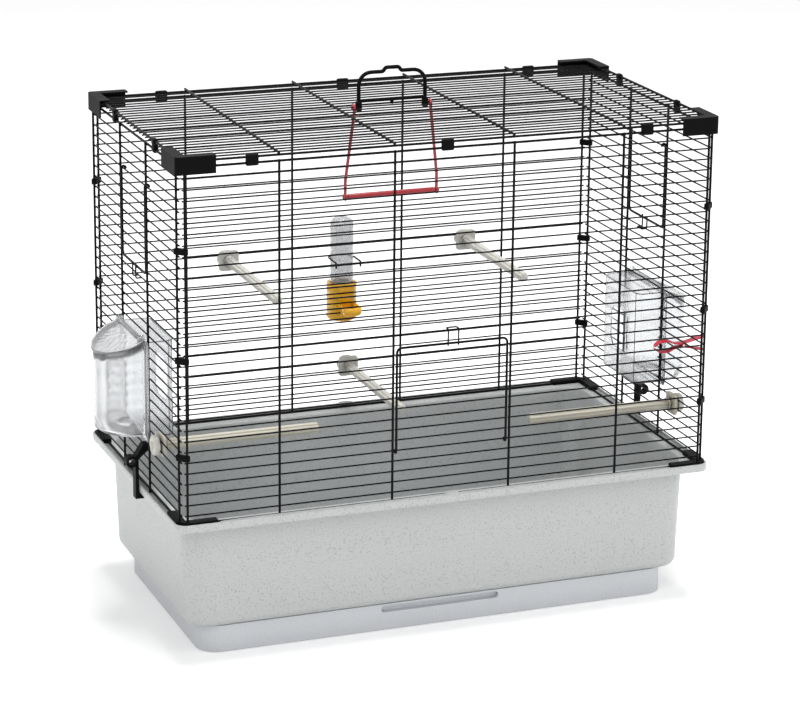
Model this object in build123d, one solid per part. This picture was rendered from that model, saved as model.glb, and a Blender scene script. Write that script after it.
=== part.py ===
from build123d import *
import os
from math import asin, atan2, cos, degrees, hypot, radians, sin, tan

# A wire bird cage on a moulded base with a pull-out tray, all sizes in millimetres
# Origin under the middle of the base, X to the right along the front, Y to the back, Z up

# Wire cage
cage_length = 560.0
cage_depth = 305.8
panel_bottom = 146.2
panel_top = 501.5
roof_level = 507.4
wire_pitch = 10.83
thick_wire = 1.25
thin_wire = 0.8
thin_wire_sides = 6
thick_wire_sides = 8
round_sides = 16
boss_sides = 12
weld_gap = 0.02
wire_end = 1.0
upright_tip = 2.0
corner_inset = 6.4
inner_upright = 62.3
outer_upright = 179.8
side_upright = 45.3

# Doors
door_side_gap = 3.8
door_wire_gap = 0.1
door_corner = 5.0
front_door_hinge_row = 28
front_door_latch_row = 17
side_door_hinge_row = 4
side_door_latch_row = 13
front_door_setback = 13.2
side_door_setback = 9.6
latch_loop_half = 5.5
latch_loop_bend = 1.6
latch_clearance = 0.3
side_latch_shift = 7.0

# Moulded base and drawer
rim_overhang_x = 6.0
rim_overhang_y = 6.1
rim_top = 148.0
rim_lip_height = 8.0
rim_wall = 2.0
rim_corner = 12.0
seat_clearance = 0.05
tub_inset_x = 14.5
tub_inset_y = 18.0
tub_taper = 2.1
tub_corner = 26.0
tub_wall = 2.4
tub_bottom_cut = 6.0
band_inset_x = 17.9
band_inset_y = 11.2
band_corner = 22.0
band_height = 28.8
frame_wall = 2.5
runner_width = 14.0
runner_height = 2.0
drawer_gap = 0.3
drawer_side_gap = 1.0
drawer_wall = 2.0
drawer_floor = 2.0
drawer_front_wall = 8.0
drawer_front_depth = 29.8
drawer_top_gap = 0.6
scoop_length = 128.0
scoop_height = 7.0
scoop_depth = 5.0
scoop_level = 22.5
tub_ledge = 4.0
hold_down_tab = 15.0

# Clips, corner caps and corner shoes
clip_wall = 1.5
clip_clearance = 0.05
long_clip_width = 12.0
short_clip_width = 7.0
post_clip_height = 6.0
long_clip_places = (-206.0, -7.0, 206.0)
short_clip_row = 20
post_clip_rows = (7, 17, 26)
cap_arm_x = 40.0
cap_arm_y = 47.0
cap_wall = 1.6
cap_gap = 0.3
cap_shelf = 11.0
cap_bottom = 495.5
cap_corner = 4.0
shoe_arm = 40.0
shoe_width = 9.2
shoe_top = 150.0
shoe_gap = 0.3
shoe_corner = 8.5

# Handle
handle_width = 72.0
handle_top = 543.0
handle_bar = 2.0
handle_bump = 4.0
handle_bump_half = 7.0
handle_corner = 13.0
handle_bend = 3.0
handle_crossbar = 514.0
handle_crossbar_radius = 1.8
handle_foot = 6.0
handle_foot_depth = 5.4
handle_foot_bottom = 503.5
hanging_row = 16
grip_clearance = 0.06

# Swing
swing_hook_half = 41.6
swing_bar_half = 50.0
swing_level = 415.0
swing_wire = 1.6
swing_eye = 4.2
swing_eye_width = 4.0
swing_perch = 3.0
swing_spigot = 2.0
press_clearance = 0.02

# Perches
perch_length = 165.0
perch_radius = 5.5
perch_grooves = 8
perch_groove = 1.0
perch_plate = 22.0
perch_plate_thickness = 4.0
perch_neck = 3.8
nut_size = 10.5
nut_thickness = 6.0
fit_clearance = 0.06
seat_gap = 0.3
back_perch_spread = 135.0
back_perch_row = 16
low_perch_row = 28
left_perch_row = 27
left_perch_place = 72.0
right_perch_place = -87.0

# Feeders
feeder_plate_half = 52.0
feeder_bottom = 200.0
feeder_height = 103.0
feeder_wall = 1.8
feeder_body_half = 44.0
feeder_side_depth = 14.0
feeder_depth = 40.0
feeder_facets = 9
feeder_slope_drop = 16.5
feeder_window_margin = 6.0
feeder_gap = 0.3
hood_wall = 1.5
hood_half = 42.5
hood_depth = 27.0
hood_corner = 5.0
hood_mouth_half = 22.0
hood_mouth_height = 44.0
lid_gap = 0.4
lid_overlap = 1.4
lid_thickness = 1.8
lid_pin = 1.3
lid_pin_clearance = 0.08
lid_ear_inner = 37.0
lid_ear_width = 3.0
lid_pin_rise = 1.8

# Drinker
tube_radius = 12.5
tube_wall = 1.4
tube_top = 354.0
tube_shoulder = 5.0
tube_crown_slope = 45.0
cup_radius = 16.5
cup_wall = 1.8
cup_bottom = 240.0
cup_top = 282.0
cup_shelf = 268.0
cup_shelf_thickness = 1.6
cup_port = 11.0
spout_half = 10.0
spout_height = 8.4
spout_reach = 24.0
spout_wall = 2.0
spout_row = 23
drinker_stand_off = 0.6
holder_wire = 1.0
holder_row = 18
holder_hook_drop = 6.0

# Base latches
latch_place = 25.0
latch_width = 10.0
latch_row = 29
latch_hub = 4.0
latch_arm = 3.5
latch_toe_gap = 0.8
latch_toe_height = 5.2
latch_ring_outer = 6.0
latch_ring_inner = 3.4

# Peg clip
peg_place = -90.0
peg_row = 23
peg_pivot_out = 3.0
peg_jaw = 32.0
peg_handle = 26.0
peg_thickness = 2.0
peg_width = 8.0
peg_boss = 2.6
peg_pin = 1.2
peg_lug = 1.4
peg_seat = 1.25

# Worked out from the sizes above
rim_length = cage_length + 2 * rim_overhang_x
rim_depth = cage_depth + 2 * rim_overhang_y
tub_length = rim_length - 2 * tub_inset_x
tub_depth = rim_depth - 2 * tub_inset_y
band_length = tub_length - 2 * band_inset_x
band_depth = tub_depth - 2 * band_inset_y
half_length = cage_length / 2
half_depth = cage_depth / 2
lap_thin = thick_wire + thin_wire + weld_gap
lap_thick = 2 * thick_wire + weld_gap
front_edge = half_length - corner_inset
side_edge = half_depth - corner_inset
row_count = int((panel_top - panel_bottom - 2 * thick_wire) / wire_pitch)
roof_half_x = half_length - lap_thick
roof_half_y = half_depth - lap_thick
roof_count = round(2 * roof_half_y / wire_pitch)
roof_pitch = 2 * roof_half_y / roof_count
roof_upper = roof_level + lap_thick
roof_thin = roof_upper - lap_thin
rim_seat = panel_bottom - thick_wire - seat_clearance
lip_bottom = rim_top - rim_lip_height
feeder_top = feeder_bottom + feeder_height
plate_back = thick_wire + feeder_gap
plate_front = plate_back + feeder_wall
drinker_centre = -(drinker_stand_off + cup_radius)

# Places of the four panels: each is drawn with X along it, Y inward and Z up
front_place = Location((0, -half_depth, 0))
back_place = Location((0, half_depth, 0), (0, 0, 180))
left_place = Location((-half_length, 0, 0), (0, 0, -90))
right_place = Location((half_length, 0, 0), (0, 0, 90))


def row_height(row):
    return panel_top - wire_pitch * row


def gap_height(row):
    return row_height(row + 0.5)


def roof_row(row):
    return -roof_half_y + roof_pitch * row


def bar(start, end, radius, sides=thick_wire_sides, facing=None):
    """A straight wire, round or with flat sides and one corner towards the facing direction."""
    run = Vector(*end) - Vector(*start)
    plane = Plane(origin=start, x_dir=facing, z_dir=run)
    outline = RegularPolygon(radius, sides) if sides else Circle(radius)
    return extrude(plane * outline, run.length)


def bore(start, end, radius, sides=thick_wire_sides):
    """A hole between two points whose flat sides clear a round pin of the given radius."""
    run = Vector(*end) - Vector(*start)
    plane = Plane(origin=start, z_dir=run)
    return extrude(plane * RegularPolygon(radius, sides, major_radius=False), run.length)


def soften(points, bends, cuts):
    """The points of a path whose corners are cut by short runs that touch the arc of each bend."""
    path = [Vector(*points[0])]
    for n, bend in enumerate(bends):
        corner = Vector(*points[n + 1])
        ahead = (corner - Vector(*points[n])).normalized()
        leaving = (Vector(*points[n + 2]) - corner).normalized()
        turn = radians(ahead.get_angle(leaving))
        aside = (leaving - ahead * ahead.dot(leaving)).normalized()
        step = turn / (cuts + 1)
        reach = bend * tan(step / 2)
        place = corner - ahead * (bend * tan(turn / 2) - reach)
        path.append(place)
        for cut in range(1, cuts + 1):
            place = place + (ahead * cos(cut * step) + aside * sin(cut * step)) * (2 * reach)
            path.append(place)
    path.append(Vector(*points[-1]))
    return path


def bent_wire(points, bends, radius, cuts=1, sides=thick_wire_sides):
    """A wire with flat sides along straight runs, its bends made of a few short runs."""
    path = Polyline(*soften(points, bends, cuts))
    section = Plane(origin=path @ 0, z_dir=path % 0) * RegularPolygon(radius, sides)
    return sweep(section, path=path, transition=Transition.RIGHT)


def cut_rectangle(length, depth, cut):
    """A rectangle about the origin with its corners cut off."""
    x = length / 2
    y = depth / 2
    points = [
        (x, y - cut), (x - cut, y), (cut - x, y), (-x, y - cut),
        (-x, cut - y), (cut - x, -y), (x - cut, -y), (x, cut - y),
    ]
    return make_face(Polyline(*points, close=True))


def block(x, y, z):
    """A box given by its low and high limits along each axis."""
    size = (x[1] - x[0], y[1] - y[0], z[1] - z[0])
    centre = ((x[0] + x[1]) / 2, (y[0] + y[1]) / 2, (z[0] + z[1]) / 2)
    return Pos(*centre) * Box(*size)


def slab(length, depth, corner, low, high, taper=0.0):
    """A rounded rectangle about the origin, extruded between two heights."""
    outline = Pos(0, 0, low) * RectangleRounded(length, depth, corner)
    return extrude(outline, high - low, taper=taper)


def split_row(half, openings, height):
    """The stretches of a row of wire that remain beside the openings at its height."""
    stretches = [(-half, half)]
    for side, low, high in openings:
        if low < height < high:
            stretches = [(-half, -side + wire_end), (side - wire_end, half)]
    return stretches


def wire_panel(edge, uprights, openings, hinge_rows):
    """An upright panel: thick uprights outside, thin rows and two thick rails inside.

    The rows that something turns on are round, the others have flat sides.
    """
    wires = []
    half = edge + thick_wire + wire_end
    for x in [-edge, *uprights, edge]:
        low = (x, 0, panel_bottom - thick_wire)
        high = (x, 0, panel_top + upright_tip)
        wires.append(bar(low, high, thick_wire))
    for z in (panel_bottom, panel_top):
        wires.append(bar((-half, lap_thick, z), (half, lap_thick, z), thick_wire))
    for row in range(1, row_count + 1):
        z = row_height(row)
        sides = 0 if row in hinge_rows else thin_wire_sides
        for left, right in split_row(half, openings, z):
            start = (left, lap_thin, z)
            wires.append(bar(start, (right, lap_thin, z), thin_wire, sides, (0, 1, 0)))
    return Compound(children=wires)


def front_panel():
    low = row_height(front_door_hinge_row) + thin_wire
    high = row_height(front_door_latch_row) - thin_wire
    uprights = (-outer_upright, -inner_upright, inner_upright, outer_upright)
    opening = (inner_upright, low, high)
    return front_place * wire_panel(front_edge, uprights, [opening], [front_door_hinge_row])


def back_panel():
    uprights = (-outer_upright, -inner_upright, inner_upright, outer_upright)
    return back_place * wire_panel(front_edge, uprights, [], [])


def side_panel(place):
    door_low = row_height(side_door_latch_row) + thin_wire
    door_high = row_height(side_door_hinge_row) - thin_wire
    feeder = (side_upright, feeder_bottom, feeder_top)
    openings = [(side_upright, door_low, door_high), feeder]
    hinge_rows = [side_door_hinge_row, latch_row]
    return place * wire_panel(side_edge, (-side_upright, side_upright), openings, hinge_rows)


def roof_panel():
    """Rails and rows along the cage with the cross wires welded on top of them."""
    wires = []
    end_x = roof_half_x + thick_wire + wire_end
    end_y = roof_half_y + thick_wire + wire_end
    for y in (-roof_half_y, roof_half_y):
        wires.append(bar((-end_x, y, roof_level), (end_x, y, roof_level), thick_wire))
    for row in range(1, roof_count):
        start = (-end_x, roof_row(row), roof_thin)
        end = (end_x, roof_row(row), roof_thin)
        sides = 0 if row == hanging_row else thin_wire_sides
        wires.append(bar(start, end, thin_wire, sides, (0, 0, 1)))
    cross = (-roof_half_x, -outer_upright, -inner_upright, inner_upright, outer_upright, roof_half_x)
    for x in cross:
        wires.append(bar((x, -end_y, roof_upper), (x, end_y, roof_upper), thick_wire))
    return Compound(children=wires)


def door_frame(half_width, length, latch_reach, latch_shift):
    """The thick wire of a door hung on a wire along X through the origin, and its latch loop.

    The frame rises along Z, outward is minus Y, and its feet curl round the hinge wire.
    """
    side = half_width - door_side_gap
    curl = thin_wire + thick_wire + door_wire_gap
    below = -curl - 0.05
    feet = []
    for sign in (-1, 1):
        feet.append([
            (sign * side, curl, thick_wire * 0.6),
            (sign * side, curl, below),
            (sign * side, -curl, below),
        ])
    path_points = feet[0] + [(-side, -curl, length), (side, -curl, length)] + feet[1][::-1]
    bend = curl - 0.05
    frame = bent_wire(path_points, [bend, bend, door_corner, door_corner, bend, bend], thick_wire)
    loop_y = -curl - thick_wire - thin_wire - weld_gap
    left = latch_shift - latch_loop_half
    right = latch_shift + latch_loop_half
    low = length - 2 * wire_end
    tip = thin_wire + wire_end
    loop_points = [
        (left, loop_y, low), (left, loop_y, latch_reach), (left, tip, latch_reach),
        (right, tip, latch_reach), (right, loop_y, latch_reach), (right, loop_y, low),
    ]
    loop = bent_wire(loop_points, [latch_loop_bend] * 4, thin_wire, 1, thin_wire_sides)
    return Compound(children=[frame, loop])


def door_rows(half_width, count):
    """The thin rows welded behind a door's frame."""
    end = half_width - door_side_gap + wire_end
    wires = []
    for row in range(1, count + 1):
        z = wire_pitch * row
        wires.append(bar((-end, 0, z), (end, 0, z), thin_wire, thin_wire_sides, (0, 1, 0)))
    return Compound(children=wires)


def front_door():
    """The frame and the rows of the front door, which is hinged at its foot."""
    hinge = row_height(front_door_hinge_row)
    latch = row_height(front_door_latch_row) - hinge
    reach = latch + 2 * thin_wire + latch_clearance
    frame = door_frame(inner_upright, latch - front_door_setback, reach, 0)
    rows = door_rows(inner_upright, front_door_hinge_row - front_door_latch_row - 2)
    place = Pos(0, -half_depth + lap_thin, hinge)
    return place * frame, place * rows


def side_door(sign):
    """The frame and the rows of a side door, which is hinged at its top."""
    hinge = row_height(side_door_hinge_row)
    latch = hinge - row_height(side_door_latch_row)
    reach = latch + 2 * thin_wire + latch_clearance
    frame = door_frame(side_upright, latch - side_door_setback, reach, -side_latch_shift)
    rows = door_rows(side_upright, side_door_latch_row - side_door_hinge_row - 2)
    origin = (sign * (half_length - lap_thin), 0, hinge)
    place = Plane(origin=origin, x_dir=(0, -sign, 0), z_dir=(0, 0, -1)).location
    return place * frame, place * rows


def base_tub():
    """The open moulded tub: tapered walls, a rounded foot and the rim that carries the wires."""
    shrink = 2 * (lip_bottom - band_height) * tan(radians(tub_taper))
    foot_length = tub_length - shrink
    foot_depth = tub_depth - shrink
    foot_corner = tub_corner - shrink / 2
    outer = slab(foot_length, foot_depth, foot_corner, band_height, rim_seat, -tub_taper)
    outer = chamfer(outer.faces().sort_by(Axis.Z)[0].edges(), tub_bottom_cut)
    thin = 2 * tub_wall
    inner = slab(foot_length - thin, foot_depth - thin, foot_corner - tub_wall,
                 band_height + tub_wall, rim_top, -tub_taper)
    inner = chamfer(inner.faces().sort_by(Axis.Z)[0].edges(), tub_bottom_cut - tub_wall / 2)
    rim = slab(rim_length, rim_depth, rim_corner, lip_bottom, rim_top)
    rim = chamfer(rim.faces().sort_by(Axis.Z)[-1].edges(), rim_wall / 3)
    lip = 2 * rim_wall
    rim -= slab(rim_length - lip, rim_depth - lip, rim_corner - rim_wall, rim_seat, rim_top + 1)
    under = slab(rim_length - lip, rim_depth - lip, rim_corner - rim_wall,
                 lip_bottom - 1, rim_seat - tub_wall)
    rim -= under - outer
    opening = slab(band_length - 2 * (frame_wall + drawer_side_gap + drawer_wall + tub_ledge),
                   band_depth - 2 * (drawer_front_wall + tub_ledge), band_corner - tub_ledge,
                   band_height - 1, band_height + 2 * tub_wall)
    tub = outer + rim - inner - opening
    low = panel_bottom + thick_wire + latch_clearance
    tab_y = (half_depth - lap_thick, rim_depth / 2 - rim_wall / 2)
    tub += block((-hold_down_tab / 2, hold_down_tab / 2), tab_y, (low, low + rim_wall))
    return tub


def drawer_front_line():
    return -band_depth / 2 + drawer_front_depth


def base_frame():
    """Three walls, runners and a cross rib under the tub, open at the front for the drawer."""
    band = slab(band_length, band_depth, band_corner, 0, band_height)
    walls = 2 * frame_wall
    band -= slab(band_length - walls, band_depth - walls, band_corner - frame_wall,
                 runner_height, band_height)
    inside = 2 * runner_width
    hollow = slab(band_length - inside, band_depth - inside, band_corner / 2, -1, band_height)
    rib = block((-band_length / 2 + runner_width / 2, band_length / 2 - runner_width / 2),
                (-runner_width / 2, runner_width / 2), (-1, runner_height))
    band -= hollow - rib
    cut = block((-band_length, band_length), (-band_depth, drawer_front_line()), (-1, band_height + 1))
    return band - cut


def drawer():
    """A shallow tray with a thick rounded front and a finger scoop along its top."""
    line = drawer_front_line()
    front = slab(band_length, band_depth, band_corner, drawer_top_gap, band_height - drawer_top_gap)
    front -= block((-band_length, band_length), (line - drawer_gap, band_depth), (-1, band_height))
    side = frame_wall + drawer_side_gap
    low = runner_height + drawer_gap
    tray = slab(band_length - 2 * side, band_depth - 2 * side, band_corner - side,
                low, band_height - 2)
    cavity_length = band_length - 2 * (side + drawer_wall)
    cavity_back = band_depth / 2 - side - drawer_wall
    cavity_front = -band_depth / 2 + drawer_front_wall
    cavity = Pos(0, (cavity_back + cavity_front) / 2, 0) * slab(
        cavity_length, cavity_back - cavity_front, band_corner - side - drawer_wall,
        low + drawer_floor, band_height)
    scoop_plane = Plane(origin=(0, -band_depth / 2, scoop_level), x_dir=(1, 0, 0), z_dir=(0, 1, 0))
    scoop = extrude(scoop_plane * SlotOverall(scoop_length, scoop_height), scoop_depth)
    return front + tray - cavity - scoop


def pair_clip(first, second, length):
    """A clip round two parallel wires at two points of the XY plane, extruded both ways."""
    outer = thick_wire + clip_clearance + clip_wall
    gap = Vector(*second) - Vector(*first)
    middle = (Vector(*first) + Vector(*second)) / 2
    turn = degrees(atan2(gap.Y, gap.X))
    body = cut_rectangle(gap.length + 2 * outer, 2 * outer, clip_wall)
    seat = 2 * (thick_wire + clip_clearance)
    for x in (-gap.length / 2, gap.length / 2):
        body -= Pos(x, 0) * Rectangle(seat, seat)
    body = Location((middle.X, middle.Y, 0), (0, 0, turn)) * body
    return extrude(body, length / 2, both=True)


def long_clips():
    """Clips that tie the roof's long rails to the front and back panels."""
    clips = []
    for sign in (-1, 1):
        for x in long_clip_places:
            plane = Plane(origin=(x, sign * roof_half_y, 0), x_dir=(0, 1, 0), z_dir=(1, 0, 0))
            clips.append(plane.location * pair_clip((0, panel_top), (0, roof_level), long_clip_width))
    return Compound(children=clips)


def short_clips():
    """Clips that tie the roof's short rails to the side panels, between two roof rows."""
    clips = []
    place_y = roof_row(short_clip_row + 0.5)
    for sign in (-1, 1):
        for y in (-place_y, place_y):
            plane = Plane(origin=(sign * roof_half_x, y, 0), x_dir=(-1, 0, 0), z_dir=(0, 1, 0))
            clips.append(plane.location * pair_clip((0, panel_top), (0, roof_upper), short_clip_width))
    return Compound(children=clips)


def post_clips():
    """Clips round the two uprights at each corner, each in a gap between two rows."""
    clips = []
    for sx in (-1, 1):
        for sy in (-1, 1):
            front_post = (sx * front_edge, sy * half_depth)
            side_post = (sx * half_length, sy * side_edge)
            for row in post_clip_rows:
                clip = pair_clip(front_post, side_post, post_clip_height)
                clips.append(Pos(0, 0, gap_height(row)) * clip)
    return Compound(children=clips)


def corner_l(arm_x, arm_y, width, outer_x, outer_y):
    """An L outline whose corner is at the given outer faces, arms towards the middle."""
    points = [
        (outer_x, outer_y), (outer_x - arm_x, outer_y), (outer_x - arm_x, outer_y - width),
        (outer_x - width, outer_y - width), (outer_x - width, outer_y - arm_y),
        (outer_x, outer_y - arm_y),
    ]
    return make_face(Polyline(*points, close=True))


def to_corner(shape, sx, sy):
    """Moves a piece drawn at the back right corner to one of the four corners."""
    if sx < 0:
        shape = shape.mirror(Plane.YZ)
    if sy < 0:
        shape = shape.mirror(Plane.XZ)
    return shape


def corner_cap(sx, sy):
    """The angle that covers a top corner: two outer walls under a flat shelf."""
    face_x = half_length + thick_wire + cap_gap
    face_y = half_depth + thick_wire + cap_gap
    under = roof_upper + thick_wire + cap_gap
    outline = corner_l(cap_arm_x, cap_arm_y, cap_shelf, face_x + cap_wall, face_y + cap_wall)
    cap = extrude(Pos(0, 0, cap_bottom) * outline, under + cap_wall - cap_bottom)
    post = cap.edges().filter_by(Axis.Z).sort_by(lambda e: e.center().X + e.center().Y)[-1]
    cap = fillet(post, cap_corner)
    room = slab(2 * face_x, 2 * face_y, cap_corner - cap_wall, cap_bottom - 1, under)
    return to_corner(cap - room, sx, sy)


def corner_shoe(sx, sy):
    """The angle that holds a bottom corner of the wires down in the rim's groove."""
    outer_x = rim_length / 2 - rim_wall - shoe_gap
    outer_y = rim_depth / 2 - rim_wall - shoe_gap
    outline = corner_l(shoe_arm, shoe_arm, shoe_width, outer_x, outer_y)
    low = rim_seat + shoe_gap
    shoe = extrude(Pos(0, 0, low) * outline, shoe_top - low)
    post = shoe.edges().filter_by(Axis.Z).sort_by(lambda e: e.center().X + e.center().Y)[-1]
    shoe = chamfer(post, shoe_corner)
    hole = thick_wire + 2 * clip_clearance
    shoe -= bore((0, roof_half_y, panel_bottom), (half_length, roof_half_y, panel_bottom), hole)
    shoe -= bore((roof_half_x, 0, panel_bottom), (roof_half_x, half_depth, panel_bottom), hole)
    shoe -= bore((front_edge, half_depth, 0), (front_edge, half_depth, panel_top), hole)
    shoe -= bore((half_length, side_edge, 0), (half_length, side_edge, panel_top), hole)
    return to_corner(shoe, sx, sy)


def handle():
    """The carrying loop, whose two feet grip a row of the roof."""
    y = roof_row(hanging_row)
    half = handle_width / 2
    foot_top = handle_crossbar
    bump = handle_bump_half
    points = [
        (-half, y, foot_top - 2), (-half, y, handle_top), (-bump - 3, y, handle_top),
        (-bump, y, handle_top + handle_bump), (bump, y, handle_top + handle_bump),
        (bump + 3, y, handle_top), (half, y, handle_top), (half, y, foot_top - 2),
    ]
    bends = [handle_corner, *[handle_bend] * 4, handle_corner]
    loop = bent_wire(points, bends, handle_bar, 2)
    loop += bar((-half, y, handle_crossbar), (half, y, handle_crossbar), handle_crossbar_radius)
    nub_low = (0, y, roof_thin + thin_wire + cap_gap)
    loop += bar(nub_low, (0, y, handle_crossbar), handle_crossbar_radius)
    for x in (-half, half):
        foot = block((x - handle_foot / 2, x + handle_foot / 2),
                     (y - handle_foot_depth / 2, y + handle_foot_depth / 2),
                     (handle_foot_bottom, foot_top))
        loop += chamfer(foot.edges().filter_by(Axis.X), 1.0)
    grip = thin_wire + grip_clearance
    return loop - bore((-half - handle_foot, y, roof_thin), (half + handle_foot, y, roof_thin), grip)


def swing_arm(sign):
    """One arm: a hook over the roof wire, a flared leg and an eye for the perch bar."""
    y = roof_row(hanging_row)
    hook = thin_wire + swing_wire + door_wire_gap
    x_top = sign * swing_hook_half
    x_low = sign * swing_bar_half
    points = [
        (x_top, y + hook, roof_thin - hook), (x_top, y + hook, roof_thin + hook),
        (x_top, y - hook, roof_thin + hook), (x_top, y - hook, roof_thin - 2 * hook),
        (x_low, y, swing_level + 4 * swing_eye), (x_low, y, swing_level),
    ]
    bend = hook - 0.05
    arm = bent_wire(points, [bend, bend, 20.0, 20.0], swing_wire)
    half_eye = swing_eye_width / 2
    start = (x_low - half_eye, y, swing_level)
    arm += bar(start, (x_low + half_eye, y, swing_level), swing_eye, boss_sides)
    hole = swing_spigot + press_clearance
    return arm - bore((x_low - 5, y, swing_level), (x_low + 5, y, swing_level), hole)


def swing_arms():
    return Compound(children=[swing_arm(-1), swing_arm(1)])


def swing_perch_bar():
    """The bar the bird sits on, with a spigot at each end through the arms' eyes."""
    y = roof_row(hanging_row)
    inner = swing_bar_half - swing_eye_width / 2 - seat_gap
    outer = swing_bar_half + swing_eye_width / 2 + wire_end
    perch = bar((-inner, y, swing_level), (inner, y, swing_level), swing_perch)
    return perch + bar((-outer, y, swing_level), (outer, y, swing_level), swing_spigot)


def perch(place, x, row):
    """A fluted rod with a square plate against the rows and a neck through the gap."""
    z = gap_height(row)
    plate_y = lap_thin + thin_wire + seat_gap
    points = []
    for n in range(2 * perch_grooves):
        turn = radians(180 / perch_grooves * n)
        reach = perch_radius - perch_groove * (n % 2)
        points.append((reach * cos(turn), reach * sin(turn)))
    rod = extrude(make_face(Polyline(*points, close=True)), perch_length)
    plate = extrude(cut_rectangle(perch_plate, perch_plate, 2.5), perch_plate_thickness)
    neck = bar((0, 0, -plate_y - nut_thickness), (0, 0, 1), perch_neck, boss_sides)
    plane = Plane(origin=(x, plate_y, z), x_dir=(1, 0, 0), z_dir=(0, 1, 0))
    return place * (plane.location * (rod + plate + neck))


def perch_nut(place, x, row):
    """The nut that draws a perch's plate against the wires from outside."""
    y = lap_thin - thin_wire - seat_gap
    hole = RegularPolygon(perch_neck + fit_clearance, boss_sides, major_radius=False)
    outline = RegularPolygon(nut_size, 6) - hole
    plane = Plane(origin=(x, y, gap_height(row)), x_dir=(1, 0, 0), z_dir=(0, -1, 0))
    return place * (plane.location * extrude(outline, nut_thickness))


perch_places = {
    "left_back_perch": (back_place, back_perch_spread, back_perch_row),
    "right_back_perch": (back_place, -back_perch_spread, back_perch_row),
    "centre_back_perch": (back_place, 0.0, low_perch_row),
    "left_low_perch": (left_place, left_perch_place, left_perch_row),
    "right_low_perch": (right_place, right_perch_place, low_perch_row),
}


def feeder_outline(spread):
    """The half round plan of a feeder outside the panel, spread outward by a given amount."""
    half = feeder_body_half + spread
    side = -plate_front - feeder_side_depth
    bulge = feeder_depth + spread - feeder_side_depth
    radius = (half ** 2 + bulge ** 2) / (2 * bulge)
    points = [(half, -plate_front), (-half, -plate_front)]
    for n in range(feeder_facets + 1):
        turn = asin(half / radius) * (2 * n / feeder_facets - 1)
        points.append((radius * sin(turn), side - bulge + radius * (1 - cos(turn))))
    return make_face(Polyline(*points, close=True))


def under_slope(drop):
    """The room below the feeder's sloping top, lowered by a given drop."""
    tilt = degrees(atan2(feeder_slope_drop, feeder_depth))
    top = (0, -plate_front, feeder_top - feeder_wall - drop)
    room = Box(400, 400, 400, align=(Align.CENTER, Align.CENTER, Align.MAX))
    return Location(top, (tilt, 0, 0)) * room


def feeder_hopper(place):
    """The clear outer hopper: half round body, closed floor and the plate over the panel."""
    half = feeder_plate_half
    body = extrude(Pos(0, 0, feeder_bottom + 4) * feeder_outline(0), feeder_height) & under_slope(0)
    inner = extrude(Pos(0, 0, feeder_bottom + 4 + feeder_wall) * feeder_outline(-feeder_wall),
                    feeder_height)
    plate = block((-half, half), (-plate_front, -plate_back), (feeder_bottom, feeder_top))
    plate = chamfer(plate.edges().filter_by(Axis.Y), 2)
    margin = feeder_window_margin
    window_half = feeder_body_half - margin
    window = block((-window_half, window_half), (-plate_front - 1, 0),
                   (feeder_bottom + margin, feeder_top - margin))
    hopper = body - inner + plate - window
    pin_y, pin_z = lid_pin_centre()
    for sign in (-1, 1):
        x = sorted((sign * lid_ear_inner, sign * (lid_ear_inner + lid_ear_width)))
        ear = block(x, (pin_y - 2.6, -plate_back), (feeder_top - 8, pin_z + 2.6))
        hopper += ear
    hole = lid_pin + lid_pin_clearance
    hopper -= bore((-half, pin_y, pin_z), (half, pin_y, pin_z), hole)
    return place * hopper


def lid_pin_centre():
    return -plate_front - 3.0, feeder_top + lid_pin_rise


def feeder_lid(place):
    """The sloping lid, which swings up on a pin along the plate's top edge."""
    slope = feeder_slope_drop / feeder_depth
    outline = Pos(0, -lid_gap) * feeder_outline(lid_overlap)
    outline = make_face(outline.wires()[0])
    sheet = extrude(Pos(0, 0, feeder_bottom) * outline, 2 * feeder_height)
    rise = -lid_gap * hypot(1, slope)
    lid = (sheet & under_slope(rise - lid_thickness)) - under_slope(rise)
    pin_y, pin_z = lid_pin_centre()
    keep = lid_ear_inner - 1
    for sign in (-1, 1):
        x = sorted((sign * keep, sign * (keep + lid_ear_width + 3)))
        lid -= block(x, (pin_y - 4.2, 0), (feeder_bottom, feeder_top + 20))
    knuckle = block((-keep + 4, keep - 4), (pin_y - lid_pin, pin_y + lid_pin),
                    (feeder_top - 3.0, pin_z))
    tip = lid_ear_inner + lid_ear_width + 1
    lid += knuckle - under_slope(rise)
    lid += bar((-tip, pin_y, pin_z), (tip, pin_y, pin_z), lid_pin, 0)
    return place * lid


def feeder_hood(place):
    """The clear hood inside the cage, open to the hopper and with a mouth for the bird."""
    low = feeder_bottom + 2
    high = feeder_top - 2
    outer = block((-hood_half, hood_half), (-plate_back + 0.1, hood_depth), (low, high))
    inner_edges = outer.edges().filter_by(Axis.Z).group_by(Axis.Y)[-1]
    outer = chamfer(inner_edges, hood_corner)
    wall = hood_wall
    inner = block((-hood_half + wall, hood_half - wall), (-plate_back - 1, hood_depth - wall),
                  (low + wall, high - wall))
    inner = chamfer(inner.edges().filter_by(Axis.Z).group_by(Axis.Y)[-1], hood_corner - wall / 2)
    middle = (0, hood_depth - 2 * wall, (low + high) / 2)
    plane = Plane(origin=middle, x_dir=(1, 0, 0), z_dir=(0, 1, 0))
    mouth = extrude(plane * cut_rectangle(2 * hood_mouth_half, hood_mouth_height, 7), 4 * wall)
    return place * (outer - inner - mouth)


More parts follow.
